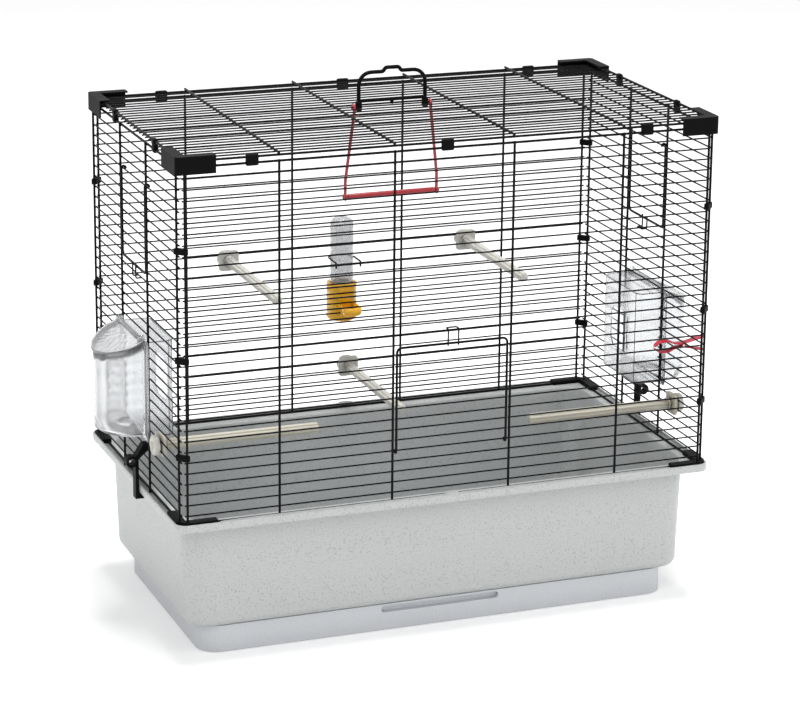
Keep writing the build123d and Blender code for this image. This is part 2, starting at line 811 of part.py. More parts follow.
def drinker_tube():
    """The clear water tube, closed and domed at the top and open below."""
    low = cup_shelf + cup_shelf_thickness + fit_clearance

    def capsule(radius, start, top):
        shoulder = top - tube_shoulder
        straight = bar((0, drinker_centre, start), (0, drinker_centre, shoulder), radius, round_sides)
        crown = Pos(0, drinker_centre, shoulder) * RegularPolygon(radius, round_sides)
        return straight + extrude(crown, tube_shoulder, taper=tube_crown_slope)

    core = capsule(tube_radius - tube_wall, low - 1, tube_top - tube_wall)
    return back_place * (capsule(tube_radius, low, tube_top) - core)


def drinker_base():
    """The cup under the tube, with a trough that reaches between two rows into the cage."""
    def disc(radius, low, high):
        return bar((0, drinker_centre, low), (0, drinker_centre, high), radius, round_sides)

    def room(radius, low, high):
        return bore((0, drinker_centre, low), (0, drinker_centre, high), radius, round_sides)

    spout_low = row_height(spout_row) + thin_wire + seat_gap
    cup = disc(cup_radius, cup_bottom, cup_top)
    cup = chamfer(cup.faces().sort_by(Axis.Z)[0].edges(), 3.5)
    trough = block((-spout_half, spout_half), (drinker_centre, spout_reach),
                   (spout_low, spout_low + spout_height))
    trough = chamfer(trough.edges().filter_by(Axis.Z).group_by(Axis.Y)[-1], 4)
    body = cup + trough
    body -= disc(cup_radius - cup_wall, cup_bottom + cup_wall, cup_shelf)
    body -= room(tube_radius + fit_clearance, cup_shelf + cup_shelf_thickness, cup_top + 1)
    body -= disc(cup_port, cup_shelf - 1, cup_top)
    half = spout_half - spout_wall
    body -= block((-half, half), (drinker_centre, spout_reach - spout_wall),
                  (spout_low + spout_wall / 2, spout_low + spout_height - spout_wall / 2))
    body -= block((-half, half), (lap_thin + 3 * thin_wire, spout_reach - spout_wall),
                  (spout_low + spout_wall, spout_low + spout_height + 1))
    return back_place * body


def drinker_holder():
    """A bow of wire round the tube, whose two ends hook over a row of the back panel."""
    z = row_height(holder_row) + thin_wire + holder_wire + seat_gap
    bow = tube_radius + seat_gap + holder_wire
    far = drinker_centre - bow
    hook_y = lap_thin + thin_wire + holder_wire + seat_gap
    points = [
        (bow, hook_y, z - holder_hook_drop), (bow, hook_y, z), (bow, far, z),
        (-bow, far, z), (-bow, hook_y, z), (-bow, hook_y, z - holder_hook_drop),
    ]
    round_bend = bow - 0.05
    bends = [1.6, round_bend, round_bend, 1.6]
    return back_place * bent_wire(points, bends, holder_wire, 3, thin_wire_sides)


def base_latch(place):
    """A lever hung on a row, whose toe hooks under the rim's lip."""
    z = row_height(latch_row)
    inner_y = -(rim_length / 2 - half_length) - 0.9
    outer_y = inner_y - latch_arm
    toe_top = lip_bottom - latch_toe_gap
    toe_low = toe_top - latch_toe_height
    points = [
        (lap_thin + 2, z + 3.4), (lap_thin - 4, z + 3.4), (outer_y, z - 9.4), (outer_y, toe_low),
        (inner_y + 4.9, toe_low), (inner_y + 4.9, toe_top), (inner_y, toe_top),
        (inner_y, z - 11.4), (lap_thin, z - latch_hub),
    ]
    hub = Pos(lap_thin, z) * RegularPolygon(latch_hub, boss_sides)
    profile = make_face(Polyline(*points, close=True)) + hub
    ring_y = outer_y - latch_ring_inner
    ring = RegularPolygon(latch_ring_outer, boss_sides)
    ring_hole = RegularPolygon(latch_ring_inner, boss_sides)
    wire_hole = RegularPolygon(thin_wire + grip_clearance, thick_wire_sides, major_radius=False)
    profile = profile + Pos(ring_y, z - 14) * ring - Pos(ring_y, z - 14) * ring_hole
    profile -= Pos(lap_thin, z) * wire_hole
    plane = Plane(origin=(latch_place, 0, 0), x_dir=(0, 1, 0), z_dir=(1, 0, 0))
    return place * (plane.location * extrude(profile, latch_width / 2, both=True))


def peg_pivot():
    below = row_height(peg_row) + thin_wire + peg_thickness + peg_seat
    return -peg_pivot_out, below + seat_gap


def peg_lever(sign):
    """One lever of the peg: a jaw inside the cage and a handle outside it."""
    y, z = peg_pivot()
    spine = [
        (peg_jaw, 1.1), (peg_jaw - 5, 5.6), (peg_jaw - 15, 6.2), (7, 2.4), (0, 1.9),
        (-8, 3.4), (-peg_handle, 7.6),
    ]
    points = [(y + along, z + sign * off) for along, off in spine]
    ribbon = trace(Polyline(*points), line_width=peg_thickness)
    plane = Plane(origin=(peg_place, 0, 0), x_dir=(0, 1, 0), z_dir=(1, 0, 0))
    lever = plane.location * extrude(ribbon, peg_width / 2, both=True)
    half = peg_width / 2
    if sign > 0:
        lugs = [(-half, -half + peg_lug), (half - peg_lug, half)]
    else:
        lugs = [(-peg_lug / 2, peg_lug / 2)]
    room = bore((peg_place - half - 1, y, z), (peg_place + half + 1, y, z), peg_boss + 0.25, boss_sides)
    lever -= room
    for low, high in lugs:
        ear = bar((peg_place + low, y, z), (peg_place + high, y, z), peg_boss, boss_sides)
        web = block((peg_place + low, peg_place + high), (y - 1.6, y + 1.6),
                    sorted((z, z + sign * (peg_boss + 0.9))))
        lever += ear + web
    return lever - bore((peg_place - half - 1, y, z), (peg_place + half + 1, y, z), peg_pin + fit_clearance)


def peg_pin_rod():
    y, z = peg_pivot()
    reach = peg_width / 2 + 0.6
    return right_place * bar((peg_place - reach, y, z), (peg_place + reach, y, z), peg_pin, 0)


def make_parts():
    parts = {
        "base_tub": base_tub(),
        "base_frame": base_frame(),
        "drawer": drawer(),
        "front_panel": front_panel(),
        "back_panel": back_panel(),
        "left_panel": side_panel(left_place),
        "right_panel": side_panel(right_place),
        "roof_panel": roof_panel(),
        "long_clips": long_clips(),
        "short_clips": short_clips(),
        "post_clips": post_clips(),
        "handle": handle(),
        "swing_arms": swing_arms(),
        "swing_perch": swing_perch_bar(),
        "drinker_tube": drinker_tube(),
        "drinker_base": drinker_base(),
        "drinker_holder": drinker_holder(),
        "left_base_latch": base_latch(left_place),
        "right_base_latch": base_latch(right_place),
        "peg_upper_lever": right_place * peg_lever(1),
        "peg_lower_lever": right_place * peg_lever(-1),
        "peg_pin": peg_pin_rod(),
    }
    for name, door in (("front", front_door()), ("left", side_door(-1)), ("right", side_door(1))):
        parts[name + "_door_frame"], parts[name + "_door_rows"] = door
    for name, sx, sy in (("front_left", -1, -1), ("front_right", 1, -1),
                         ("back_left", -1, 1), ("back_right", 1, 1)):
        parts[name + "_cap"] = corner_cap(sx, sy)
        parts[name + "_shoe"] = corner_shoe(sx, sy)
    for side, place in (("left", left_place), ("right", right_place)):
        parts[side + "_feeder_hopper"] = feeder_hopper(place)
        parts[side + "_feeder_lid"] = feeder_lid(place)
        parts[side + "_feeder_hood"] = feeder_hood(place)
    nuts = []
    for name, (place, x, row) in perch_places.items():
        parts[name] = perch(place, x, row)
        nuts.append(perch_nut(place, x, row))
    parts["perch_nuts"] = Compound(children=nuts)
    return parts


os.makedirs("parts", exist_ok=True)
for name, shape in make_parts().items():
    export_step(shape, os.path.join("parts", name + ".step"))
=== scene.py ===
import math

import bpy
import numpy as np
from mathutils import Matrix, Vector


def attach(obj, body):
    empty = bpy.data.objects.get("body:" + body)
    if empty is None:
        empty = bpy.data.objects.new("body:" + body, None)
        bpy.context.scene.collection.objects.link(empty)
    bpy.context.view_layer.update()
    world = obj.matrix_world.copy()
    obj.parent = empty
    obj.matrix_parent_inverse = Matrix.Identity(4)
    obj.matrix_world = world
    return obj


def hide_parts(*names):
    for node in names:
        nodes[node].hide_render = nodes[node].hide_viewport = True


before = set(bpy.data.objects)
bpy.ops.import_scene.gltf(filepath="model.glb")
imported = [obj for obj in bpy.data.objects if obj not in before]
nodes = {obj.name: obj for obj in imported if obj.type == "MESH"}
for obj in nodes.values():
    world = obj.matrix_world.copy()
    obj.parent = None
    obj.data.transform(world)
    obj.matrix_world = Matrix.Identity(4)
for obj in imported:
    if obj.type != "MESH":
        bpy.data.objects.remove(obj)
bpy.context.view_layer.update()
print("frame loaded:", len(nodes), "nodes")


# camera, worked out from the photo's vanishing lines: a long lens from the front left, a little above

camera = {
    "place": (-1.0735, -2.8041, 1.1644),
    "turn": 0.37047,
    "tilt": -0.2749,
    "roll": 0.0108,
    "focalPixels": 3031.2,
    "photoSize": (800, 710),
    "centrePixel": (411.76, 290.07),
}


def placeCamera(values):
    turn, tilt, roll = values["turn"], values["tilt"], values["roll"]
    ahead = Vector((math.sin(turn) * math.cos(tilt), math.cos(turn) * math.cos(tilt), math.sin(tilt)))
    side = ahead.cross(Vector((0, 0, 1))).normalized()
    up = side.cross(ahead)
    right = side * math.cos(roll) + up * math.sin(roll)
    above = up * math.cos(roll) - side * math.sin(roll)
    width, height = values["photoSize"]
    data = bpy.data.cameras.new("photoCamera")
    data.sensor_width = 36
    data.sensor_fit = "HORIZONTAL"
    data.lens = values["focalPixels"] * data.sensor_width / width
    data.shift_x = (width / 2 - values["centrePixel"][0]) / width
    data.shift_y = (values["centrePixel"][1] - height / 2) / width
    data.clip_end = 60
    seen = bpy.data.objects.new("photoCamera", data)
    bpy.context.collection.objects.link(seen)
    spun = Matrix((right, above, -ahead)).transposed().to_4x4()
    seen.matrix_world = Matrix.Translation(values["place"]) @ spun
    bpy.context.scene.camera = seen


placeCamera(camera)
bpy.context.scene.view_settings.view_transform = "Standard"
print("camera placed")


# studio: a pale floor, a white backdrop that only the camera, gloss and glass see, and soft lamps

studio = {
    "skyLight": 0.62,
    "floorColour": (0.93, 0.93, 0.93, 1),
    "floorGlow": 0.18,
    "floorHalf": 9.0,
    "aim": (0, 0, 0.26),
    "lamps": {
        "keyLamp": {"place": (-2.4, -3.0, 3.2), "size": 2.6, "power": 44},
        "fillLamp": {"place": (3.2, -1.9, 2.0), "size": 3.0, "power": 34},
        "topLamp": {"place": (0.1, 0.1, 3.0), "size": 1.2, "power": 84},
    },
}


def newNode(tree, kind, **settings):
    made = tree.nodes.new(kind)
    for name, value in settings.items():
        if hasattr(made, name):
            setattr(made, name, value)
        else:
            made.inputs[name.replace("_", " ")].default_value = value
    return made


def join(tree, *links):
    # each link: a node and its output, a node and its input
    for source, out, target, into in links:
        tree.links.new(source.outputs[out], target.inputs[into])


def backgroundRay(tree):
    # one for camera, gloss and glass rays, nothing for the rays that light the object
    light = tree.nodes.new("ShaderNodeLightPath")
    first = newNode(tree, "ShaderNodeMath", operation="MAXIMUM")
    second = newNode(tree, "ShaderNodeMath", operation="MAXIMUM")
    join(tree, (light, "Is Camera Ray", first, 0), (light, "Is Glossy Ray", first, 1),
         (first, 0, second, 0), (light, "Is Transmission Ray", second, 1))
    return second


def lightStudio(values):
    world = bpy.data.worlds.new("whiteStudio")
    world.use_nodes = True
    tree = world.node_tree
    tree.nodes.clear()
    plain = newNode(tree, "ShaderNodeBackground", Color=(1, 1, 1, 1), Strength=values["skyLight"])
    white = newNode(tree, "ShaderNodeBackground", Color=(1, 1, 1, 1), Strength=1.0)
    mix = tree.nodes.new("ShaderNodeMixShader")
    out = tree.nodes.new("ShaderNodeOutputWorld")
    join(tree, (backgroundRay(tree), 0, mix, 0), (plain, 0, mix, 1), (white, 0, mix, 2), (mix, 0, out, 0))
    bpy.context.scene.world = world
    aim = Vector(values["aim"])
    for name, lamp in values["lamps"].items():
        data = bpy.data.lights.new(name, "AREA")
        data.shape = "DISK"
        data.size = lamp["size"]
        data.energy = lamp["power"]
        made = bpy.data.objects.new(name, data)
        bpy.context.collection.objects.link(made)
        made.location = lamp["place"]
        made.rotation_euler = (aim - made.location).to_track_quat("-Z", "Y").to_euler()


def layFloor(values):
    half = values["floorHalf"]
    mesh = bpy.data.meshes.new("paleFloor")
    mesh.from_pydata([(-half, -half, 0), (half, -half, 0), (half, half, 0), (-half, half, 0)], [], [(0, 1, 2, 3)])
    floor = bpy.data.objects.new("paleFloor", mesh)
    bpy.context.collection.objects.link(floor)
    material = bpy.data.materials.new("paleFloor")
    material.use_nodes = True
    tree = material.node_tree
    tree.nodes.clear()
    matte = newNode(tree, "ShaderNodeBsdfDiffuse", Color=values["floorColour"])
    glow = newNode(tree, "ShaderNodeEmission", Color=(1, 1, 1, 1))
    level = newNode(tree, "ShaderNodeMath", operation="MULTIPLY")
    level.inputs[1].default_value = values["floorGlow"]
    total = tree.nodes.new("ShaderNodeAddShader")
    out = tree.nodes.new("ShaderNodeOutputMaterial")
    join(tree, (backgroundRay(tree), 0, level, 0), (level, 0, glow, "Strength"),
         (matte, 0, total, 0), (glow, 0, total, 1), (total, 0, out, 0))
    mesh.materials.append(material)


lightStudio(studio)
layFloor(studio)
print("studio lit")


# shared effects: moulded grain, and drifting colour with flecks, each a group with its own values

def newGroup(name, inputs, outputs):
    group = bpy.data.node_groups.new(name, "ShaderNodeTree")
    for label, value in inputs.items():
        kind = "NodeSocketColor" if isinstance(value, tuple) else "NodeSocketFloat"
        socket = group.interface.new_socket(name=label, in_out="INPUT", socket_type=kind)
        socket.default_value = value
    for label, kind in outputs.items():
        group.interface.new_socket(name=label, in_out="OUTPUT", socket_type=kind)
    return group, group.nodes.new("NodeGroupInput"), group.nodes.new("NodeGroupOutput")


def mouldedGrainGroup():
    # fine leathery dimples of a mould plus a slow waviness, as a bump, and uneven gloss
    group, give, take = newGroup(
        "mouldedGrain",
        {"Grain Scale": 900.0, "Grain Depth": 0.15, "Wave Scale": 14.0, "Roughness": 0.45, "Uneven": 0.12},
        {"Roughness": "NodeSocketFloat", "Normal": "NodeSocketVector"})
    coords = group.nodes.new("ShaderNodeTexCoord")
    grain = newNode(group, "ShaderNodeTexNoise", Detail=2.0)
    wave = newNode(group, "ShaderNodeTexNoise", Detail=3.0)
    fine = newNode(group, "ShaderNodeBump", Distance=0.0002)
    slow = newNode(group, "ShaderNodeBump", Distance=0.0008, Strength=0.12)
    spread = newNode(group, "ShaderNodeMath", operation="MULTIPLY_ADD")
    centred = newNode(group, "ShaderNodeMath", operation="SUBTRACT")
    centred.inputs[1].default_value = 0.5
    join(group, (coords, "Object", grain, "Vector"), (coords, "Object", wave, "Vector"),
         (give, "Grain Scale", grain, "Scale"), (give, "Wave Scale", wave, "Scale"),
         (give, "Grain Depth", fine, "Strength"), (grain, "Fac", fine, "Height"),
         (wave, "Fac", slow, "Height"), (fine, "Normal", slow, "Normal"),
         (wave, "Fac", centred, 0), (centred, 0, spread, 0),
         (give, "Uneven", spread, 1), (give, "Roughness", spread, 2),
         (spread, 0, take, "Roughness"), (slow, "Normal", take, "Normal"))
    return group


def tintDriftGroup():
    # the base colour drifts a little from place to place, and darker flecks lie in it
    group, give, take = newGroup(
        "tintDrift",
        {"Colour": (0.5, 0.5, 0.5, 1), "Fleck Colour": (0.2, 0.2, 0.2, 1), "Drift": 0.06, "Fleck Scale": 700.0,
         "Fleck Share": 0.0},
        {"Colour": "NodeSocketColor"})
    coords = group.nodes.new("ShaderNodeTexCoord")
    slow = newNode(group, "ShaderNodeTexNoise", Scale=9.0, Detail=4.0)
    fleck = newNode(group, "ShaderNodeTexNoise", Detail=1.5)
    brighten = newNode(group, "ShaderNodeHueSaturation")
    gain = newNode(group, "ShaderNodeMath", operation="MULTIPLY_ADD")
    centred = newNode(group, "ShaderNodeMath", operation="SUBTRACT")
    centred.inputs[1].default_value = 0.5
    gain.inputs[2].default_value = 1.0
    mask = newNode(group, "ShaderNodeMapRange", From_Min=0.56, From_Max=0.68)
    share = newNode(group, "ShaderNodeMath", operation="MULTIPLY")
    blend = newNode(group, "ShaderNodeMix", data_type="RGBA")
    join(group, (coords, "Object", slow, "Vector"), (coords, "Object", fleck, "Vector"),
         (give, "Fleck Scale", fleck, "Scale"), (slow, "Fac", centred, 0), (centred, 0, gain, 0),
         (give, "Drift", gain, 1), (gain, 0, brighten, "Value"), (give, "Colour", brighten, "Color"),
         (fleck, "Fac", mask, "Value"), (mask, 0, share, 0), (give, "Fleck Share", share, 1),
         (share, 0, blend, "Factor"), (brighten, "Color", blend, "A"), (give, "Fleck Colour", blend, "B"),
         (blend, "Result", take, "Colour"))
    return group


mouldedGrain = mouldedGrainGroup()
tintDrift = tintDriftGroup()


def finish(name, colour, grain, drift, shader):
    # one surface: drifting colour and moulded grain into a principled shader
    material = bpy.data.materials.new(name)
    material.use_nodes = True
    tree = material.node_tree
    surface = tree.nodes["Principled BSDF"]
    tint = newNode(tree, "ShaderNodeGroup", node_tree=tintDrift)
    relief = newNode(tree, "ShaderNodeGroup", node_tree=mouldedGrain)
    tint.inputs["Colour"].default_value = (*colour, 1)
    for target, values in ((tint, drift), (relief, dict(zip(grainLabels, grain))), (surface, shader)):
        for label, value in values.items():
            target.inputs[label].default_value = value
    join(tree, (tint, "Colour", surface, "Base Color"), (relief, "Roughness", surface, "Roughness"),
         (relief, "Normal", surface, "Normal"))
    return material


# colour, then the grain in the order of grainLabels, then the values of the drift and of the shader
grainLabels = ("Grain Scale", "Grain Depth", "Roughness", "Uneven", "Wave Scale")
finishes = {
    "blackWire": ((0.0035, 0.0035, 0.004), (1400.0, 0.1, 0.42, 0.2), {"Drift": 0.5}, {"Specular IOR Level": 0.08}),
    "blackPlastic": ((0.0035, 0.0035, 0.004), (1100.0, 0.25, 0.5, 0.15), {"Drift": 0.4}, {"Specular IOR Level": 0.05}),
    "speckledTub": ((0.46, 0.475, 0.47), (1300.0, 0.12, 0.42, 0.1),
                    {"Drift": 0.06, "Fleck Scale": 620.0, "Fleck Share": 0.55, "Fleck Colour": (0.24, 0.25, 0.25, 1)},
                    {"Specular IOR Level": 0.45}),
    "drawerPlastic": ((0.56, 0.575, 0.6), (1200.0, 0.12, 0.4, 0.1),
                      {"Drift": 0.05, "Fleck Scale": 700.0, "Fleck Share": 0.25, "Fleck Colour": (0.3, 0.32, 0.36, 1)},
                      {}),
    "amberPlastic": ((0.8, 0.43, 0.015), (600.0, 0.05, 0.22, 0.08),
                     {"Drift": 0.1}, {"Subsurface Weight": 0.15, "Subsurface Scale": 0.004}),
    "swingRed": ((0.32, 0.012, 0.022), (600.0, 0.06, 0.26, 0.1), {"Drift": 0.12}, {"Coat Weight": 0.2}),
    "pegRed": ((0.48, 0.012, 0.04), (600.0, 0.06, 0.24, 0.1),
               {"Drift": 0.15}, {"Subsurface Weight": 0.15, "Subsurface Scale": 0.003}),
    "creamPlastic": ((0.44, 0.42, 0.35), (700.0, 0.15, 0.4, 0.1),
                     {"Drift": 0.12}, {"Subsurface Weight": 0.1, "Subsurface Scale": 0.003}),
    "warmGreyPlastic": ((0.5, 0.49, 0.45), (700.0, 0.15, 0.42, 0.1), {"Drift": 0.1}, {}),
    "steelPin": ((0.55, 0.55, 0.56), (2500.0, 0.2, 0.28, 0.15), {"Drift": 0.1}, {"Metallic": 1.0}),
    "clearPlastic": ((0.84, 0.85, 0.86), (160.0, 0.06, 0.13, 0.1, 45.0),
                     {"Drift": 0.05}, {"Transmission Weight": 0.93, "IOR": 1.42}),
    "mistedPlastic": ((0.76, 0.77, 0.78), (200.0, 0.05, 0.2, 0.1, 60.0),
                      {"Drift": 0.06}, {"Transmission Weight": 0.78, "IOR": 1.4}),
}
materials = {name: finish(name, *values) for name, values in finishes.items()}

dressing = {
    "speckledTub": ["base_tub"],
    "drawerPlastic": ["base_frame", "drawer"],
    "blackWire": ["front_panel", "back_panel", "left_panel", "right_panel", "roof_panel", "drinker_holder"]
                 + [side + kind for side in ("front_door", "left_door", "right_door") for kind in ("_frame", "_rows")],
    "blackPlastic": ["long_clips", "short_clips", "post_clips", "handle", "left_base_latch", "right_base_latch"]
                    + [end + side + kind for end in ("front_", "back_") for side in ("left_", "right_")
                       for kind in ("cap", "shoe")],
    "swingRed": ["swing_arms", "swing_perch"],
    "pegRed": ["peg_upper_lever", "peg_lower_lever"],
    "steelPin": ["peg_pin"],
    "amberPlastic": ["drinker_base"],
    "clearPlastic": ["drinker_tube"] + [side + kind for side in ("left_feeder_", "right_feeder_")
                                        for kind in ("hopper", "lid", "hood")],
    "creamPlastic": ["left_low_perch", "right_low_perch"],
    "warmGreyPlastic": ["left_back_perch", "right_back_perch", "centre_back_perch", "perch_nuts"],
}
for name, worn in dressing.items():
    for node in worn:
        for part in nodes[node].material_slots:
            part.material = materials[name]
print("finishes given to", sum(len(worn) for worn in dressing.values()), "nodes")


# sizes that the drawn pieces share with the solids, in millimetres

cage = {
    "halfLength": 280.0, "halfDepth": 152.9, "bottomRail": 146.2, "topRail": 501.5, "roofLevel": 507.4,
    "pitch": 10.83, "rows": 32, "thick": 1.25, "thin": 0.8, "gap": 0.02, "inset": 6.4,
    "innerUpright": 62.3, "outerUpright": 179.8, "sideUpright": 45.3, "rowEnd": 1.0, "tip": 2.0,
    "feederLow": 200.0, "feederHigh": 303.0, "roofRows": 28, "handleRow": 16,
    "frontDoorRows": (17, 28), "sideDoorRows": (4, 13),
}
# half sizes of the weld beads, along the panel, across it and upward
weldBeads = {
    "row": (1.15, 0.75, 1.0), "rail": (1.3, 0.8, 1.3), "roof": (1.15, 1.0, 0.75),
    "door": (1.15, 0.7, 1.0), "loop": (1.1, 0.8, 1.1),
}
lapThin = cage["thick"] + cage["thin"] + cage["gap"]
lapThick = 2 * cage["thick"] + cage["gap"]
frontEdge = cage["halfLength"] - cage["inset"]
sideEdge = cage["halfDepth"] - cage["inset"]
roofHalfX = cage["halfLength"] - lapThick
roofHalfY = cage["halfDepth"] - lapThick
roofPitch = 2 * roofHalfY / cage["roofRows"]
roofUpper = cage["roofLevel"] + lapThick
roofThin = roofUpper - lapThin
hangingPlace = -roofHalfY + cage["handleRow"] * roofPitch


def rowHeight(row):
    return cage["topRail"] - cage["pitch"] * row


def onPanel(points, side):
    # panel axes: along it, inward and up
    x, y, z = points[..., 0], points[..., 1], points[..., 2]
    half, deep = cage["halfLength"], cage["halfDepth"]
    turned = {
        "front": (x, y - deep), "back": (-x, deep - y), "left": (y - half, -x), "right": (half - y, x),
    }[side]
    return np.stack([*turned, z], -1)


def gridPart(points, closedAlong=False):
    # a batch of grids, each rings by points round a ring, joined by quads that face outward
    batch, along, around = points.shape[:3]
    i = np.arange(along if closedAlong else along - 1)[:, None]
    j = np.arange(around)[None, :]
    farI, farJ = (i + 1) % along, (j + 1) % around
    corners = np.broadcast_arrays(i * around + j, i * around + farJ, farI * around + farJ, farI * around + j)
    quads = np.stack(corners, -1).reshape(-1, 4)
    ends = np.zeros((0, around), int)
    if not closedAlong:
        ends = np.stack([np.arange(around)[::-1], (along - 1) * around + np.arange(around)])
    first = points[0].reshape(-1, 3) - points[0].reshape(-1, 3).mean(0)
    a, b, c, d = (first[quads[:, k]] for k in range(4))
    volume = np.einsum("ij,ij->i", a, np.cross(b, c)).sum() + np.einsum("ij,ij->i", a, np.cross(c, d)).sum()
    if volume < 0:
        quads, ends = quads[:, ::-1], ends[:, ::-1]
    step = (np.arange(batch) * along * around)[:, None, None]
    return points.reshape(-1, 3), (quads[None] + step).reshape(-1, 4), (ends[None] + step).reshape(-1, around)


def addPiece(name, parts, material, body, replaced):
    # parts in millimetres become one mesh that rides on a body and stands for its nodes
    points, faces, start = [], [], 0
    for corners, quads, ends in parts:
        points.append(corners)
        faces += (quads + start).tolist() + (ends + start).tolist()
        start += len(corners)
    mesh = bpy.data.meshes.new(name)
    mesh.from_pydata((np.concatenate(points) * 0.001).tolist(), [], faces)
    mesh.materials.append(materials[material])
    mesh.polygons.foreach_set("use_smooth", np.full(len(mesh.polygons), True))
    piece = bpy.data.objects.new(name, mesh)
    bpy.context.collection.objects.link(piece)
    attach(piece, body)
    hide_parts(*replaced)


def straightWires(starts, ends, radius, sides=12):
    # a capsule per wire: rings along the run, whose radius falls off over the cut ends
    starts, ends = np.asarray(starts, float), np.asarray(ends, float)
    run = ends - starts
    length = np.linalg.norm(run, axis=1, keepdims=True)
    ahead = run / length
    upright = np.abs(ahead[:, 2:3]) > 0.9
    guide = np.where(upright, np.array([[1.0, 0, 0]]), np.array([[0, 0, 1.0]]))
    side = np.cross(ahead, guide)
    side /= np.linalg.norm(side, axis=1, keepdims=True)
    over = np.cross(side, ahead)
    ease = np.array([0.0, 0.05, 0.22, 0.5]) * radius
    scale = np.array([0.45, 0.8, 0.96, 1.0])
    share = np.array([0.34, 0.67])
    off = np.concatenate([np.broadcast_to(ease, (len(run), len(ease))), share * length, length - ease[::-1]], 1)
    reach = np.concatenate([scale, np.ones(len(share)), scale[::-1]]) * radius
    turn = np.linspace(0, 2 * np.pi, sides, endpoint=False)
    ring = side[:, None, :] * np.cos(turn)[None, :, None] + over[:, None, :] * np.sin(turn)[None, :, None]
    points = starts[:, None, None, :] + ahead[:, None, None, :] * off[:, :, None, None]
    return gridPart(points + ring[:, None] * reach[None, :, None, None])


def beads(centres, radii, rings=5, sides=8):
    # ellipsoids: the weld bead at each crossing
    centres = np.asarray(centres, float)
    rise = np.linspace(-0.46, 0.46, rings) * np.pi
    turn = np.linspace(0, 2 * np.pi, sides, endpoint=False)
    ball = np.stack([
        np.cos(rise)[:, None] * np.cos(turn), np.cos(rise)[:, None] * np.sin(turn),
        np.broadcast_to(np.sin(rise)[:, None], (rings, sides)),
    ], -1)
    return gridPart(centres[:, None, None, :] + ball[None] * np.asarray(radii, float))


def roundPath(points, bends, steps=8):
    # straight runs joined by arcs of the given radii
    points = [np.asarray(p, float) for p in points]
    path = [points[0][None]]
    for before, corner, after, bend in zip(points, points[1:], points[2:], bends):
        back, ahead = before - corner, after - corner
        back, ahead = back / np.linalg.norm(back), ahead / np.linalg.norm(ahead)
        half = np.arccos(np.clip(back @ ahead, -1, 1)) / 2
        middle = (back + ahead) / np.linalg.norm(back + ahead)
        centre = corner + middle * bend / np.sin(half)
        sweep = np.linspace(-1, 1, steps) * (np.pi / 2 - half)
        across = (ahead - back) / np.linalg.norm(ahead - back)
        path.append(centre + bend * (np.sin(sweep)[:, None] * across - np.cos(sweep)[:, None] * middle))
    return np.concatenate(path + [points[-1][None]])


def tube(path, radius, sides=14, closed=False):
    # a ring carried along the path without twist, its radius eased at both ends
    path = np.asarray(path, float)
    if not closed:
        first, last = path[1] - path[0], path[-2] - path[-1]
        first, last = first / np.linalg.norm(first), last / np.linalg.norm(last)
        ease = np.array([0.0, 0.08, 0.3, 0.7]) * radius
        tail = (path[-1] + ease[:, None] * last)[::-1]
        path = np.concatenate([path[0] + ease[:, None] * first, path[1:-1], tail])
        scale = np.array([0.4, 0.75, 0.94, 1.0])
        reach = np.concatenate([scale, np.ones(len(path) - 2 * len(scale)), scale[::-1]]) * radius
        ahead = np.gradient(path, axis=0)
    else:
        reach = np.full(len(path), radius)
        ahead = np.roll(path, -1, 0) - np.roll(path, 1, 0)
    ahead /= np.linalg.norm(ahead, axis=1, keepdims=True)
    guide = np.eye(3)[np.argmin(np.abs(ahead[0]))]
    normals = []
    for heading in ahead:
        guide = guide - heading * (guide @ heading)
        guide = guide / np.linalg.norm(guide)
        normals.append(guide)
    normals = np.array(normals)
    other = np.cross(ahead, normals)
    turn = np.linspace(0, 2 * np.pi, sides, endpoint=False)
    ring = normals[:, None] * np.cos(turn)[None, :, None] + other[:, None] * np.sin(turn)[None, :, None]
    return gridPart((path[:, None] + ring * reach[:, None, None])[None], closedAlong=closed)


def pillow(low, high, power=5.0, rings=9, sides=28):
    # a block with rounded edges: a superellipsoid between its low and high corners
    low, high = np.asarray(low, float), np.asarray(high, float)
    rise = np.linspace(-0.492, 0.492, rings * 2) * np.pi
    turn = np.linspace(0, 2 * np.pi, sides, endpoint=False) + np.pi / sides

    def bend(value):
        return np.sign(value) * np.abs(value) ** (2 / power)
    x = bend(np.cos(rise))[:, None] * bend(np.cos(turn))
    y = bend(np.cos(rise))[:, None] * bend(np.sin(turn))
    z = np.broadcast_to(bend(np.sin(rise))[:, None], x.shape)
    return gridPart(((low + high) / 2 + np.stack([x, y, z], -1) * (high - low) / 2)[None])


def moved(part, change):
    corners, quads, ends = part
    return change(corners), quads, ends


def lathe(profile, centre, sides=48):
    # a profile of radius and height turned about an upright line
    profile = np.asarray(profile, float)
    turn = np.linspace(0, 2 * np.pi, sides, endpoint=False)
    x = centre[0] + profile[:, :1] * np.cos(turn)
    y = centre[1] + profile[:, :1] * np.sin(turn)
    return gridPart(np.stack([x, y, np.broadcast_to(profile[:, 1:], x.shape)], -1)[None])


def ringSurface(stations, perSide, perCorner):
    # a closed profile of rounded rectangles: half length, half depth, corner radius and height at each
    a, b, r, z = (np.asarray(stations, float)[:, k][:, None] for k in range(4))
    corners = []
    for quarter, (signX, signY) in enumerate([(1, 1), (-1, 1), (-1, -1), (1, -1)]):
        turn = np.linspace(0, np.pi / 2, perCorner)[None, :] + quarter * np.pi / 2
        corners.append(np.stack([
            signX * (a - r) + r * np.cos(turn), signY * (b - r) + r * np.sin(turn),
            np.broadcast_to(z, (len(z), perCorner)),
        ], -1))
    share = np.linspace(0, 1, perSide + 2)[1:-1][None, :, None]
    loops = []
    for corner, following in zip(corners, corners[1:] + corners[:1]):
        loops += [corner, corner[:, -1:] * (1 - share) + following[:, :1] * share]
    return gridPart(np.concatenate(loops, 1)[None], closedAlong=True)


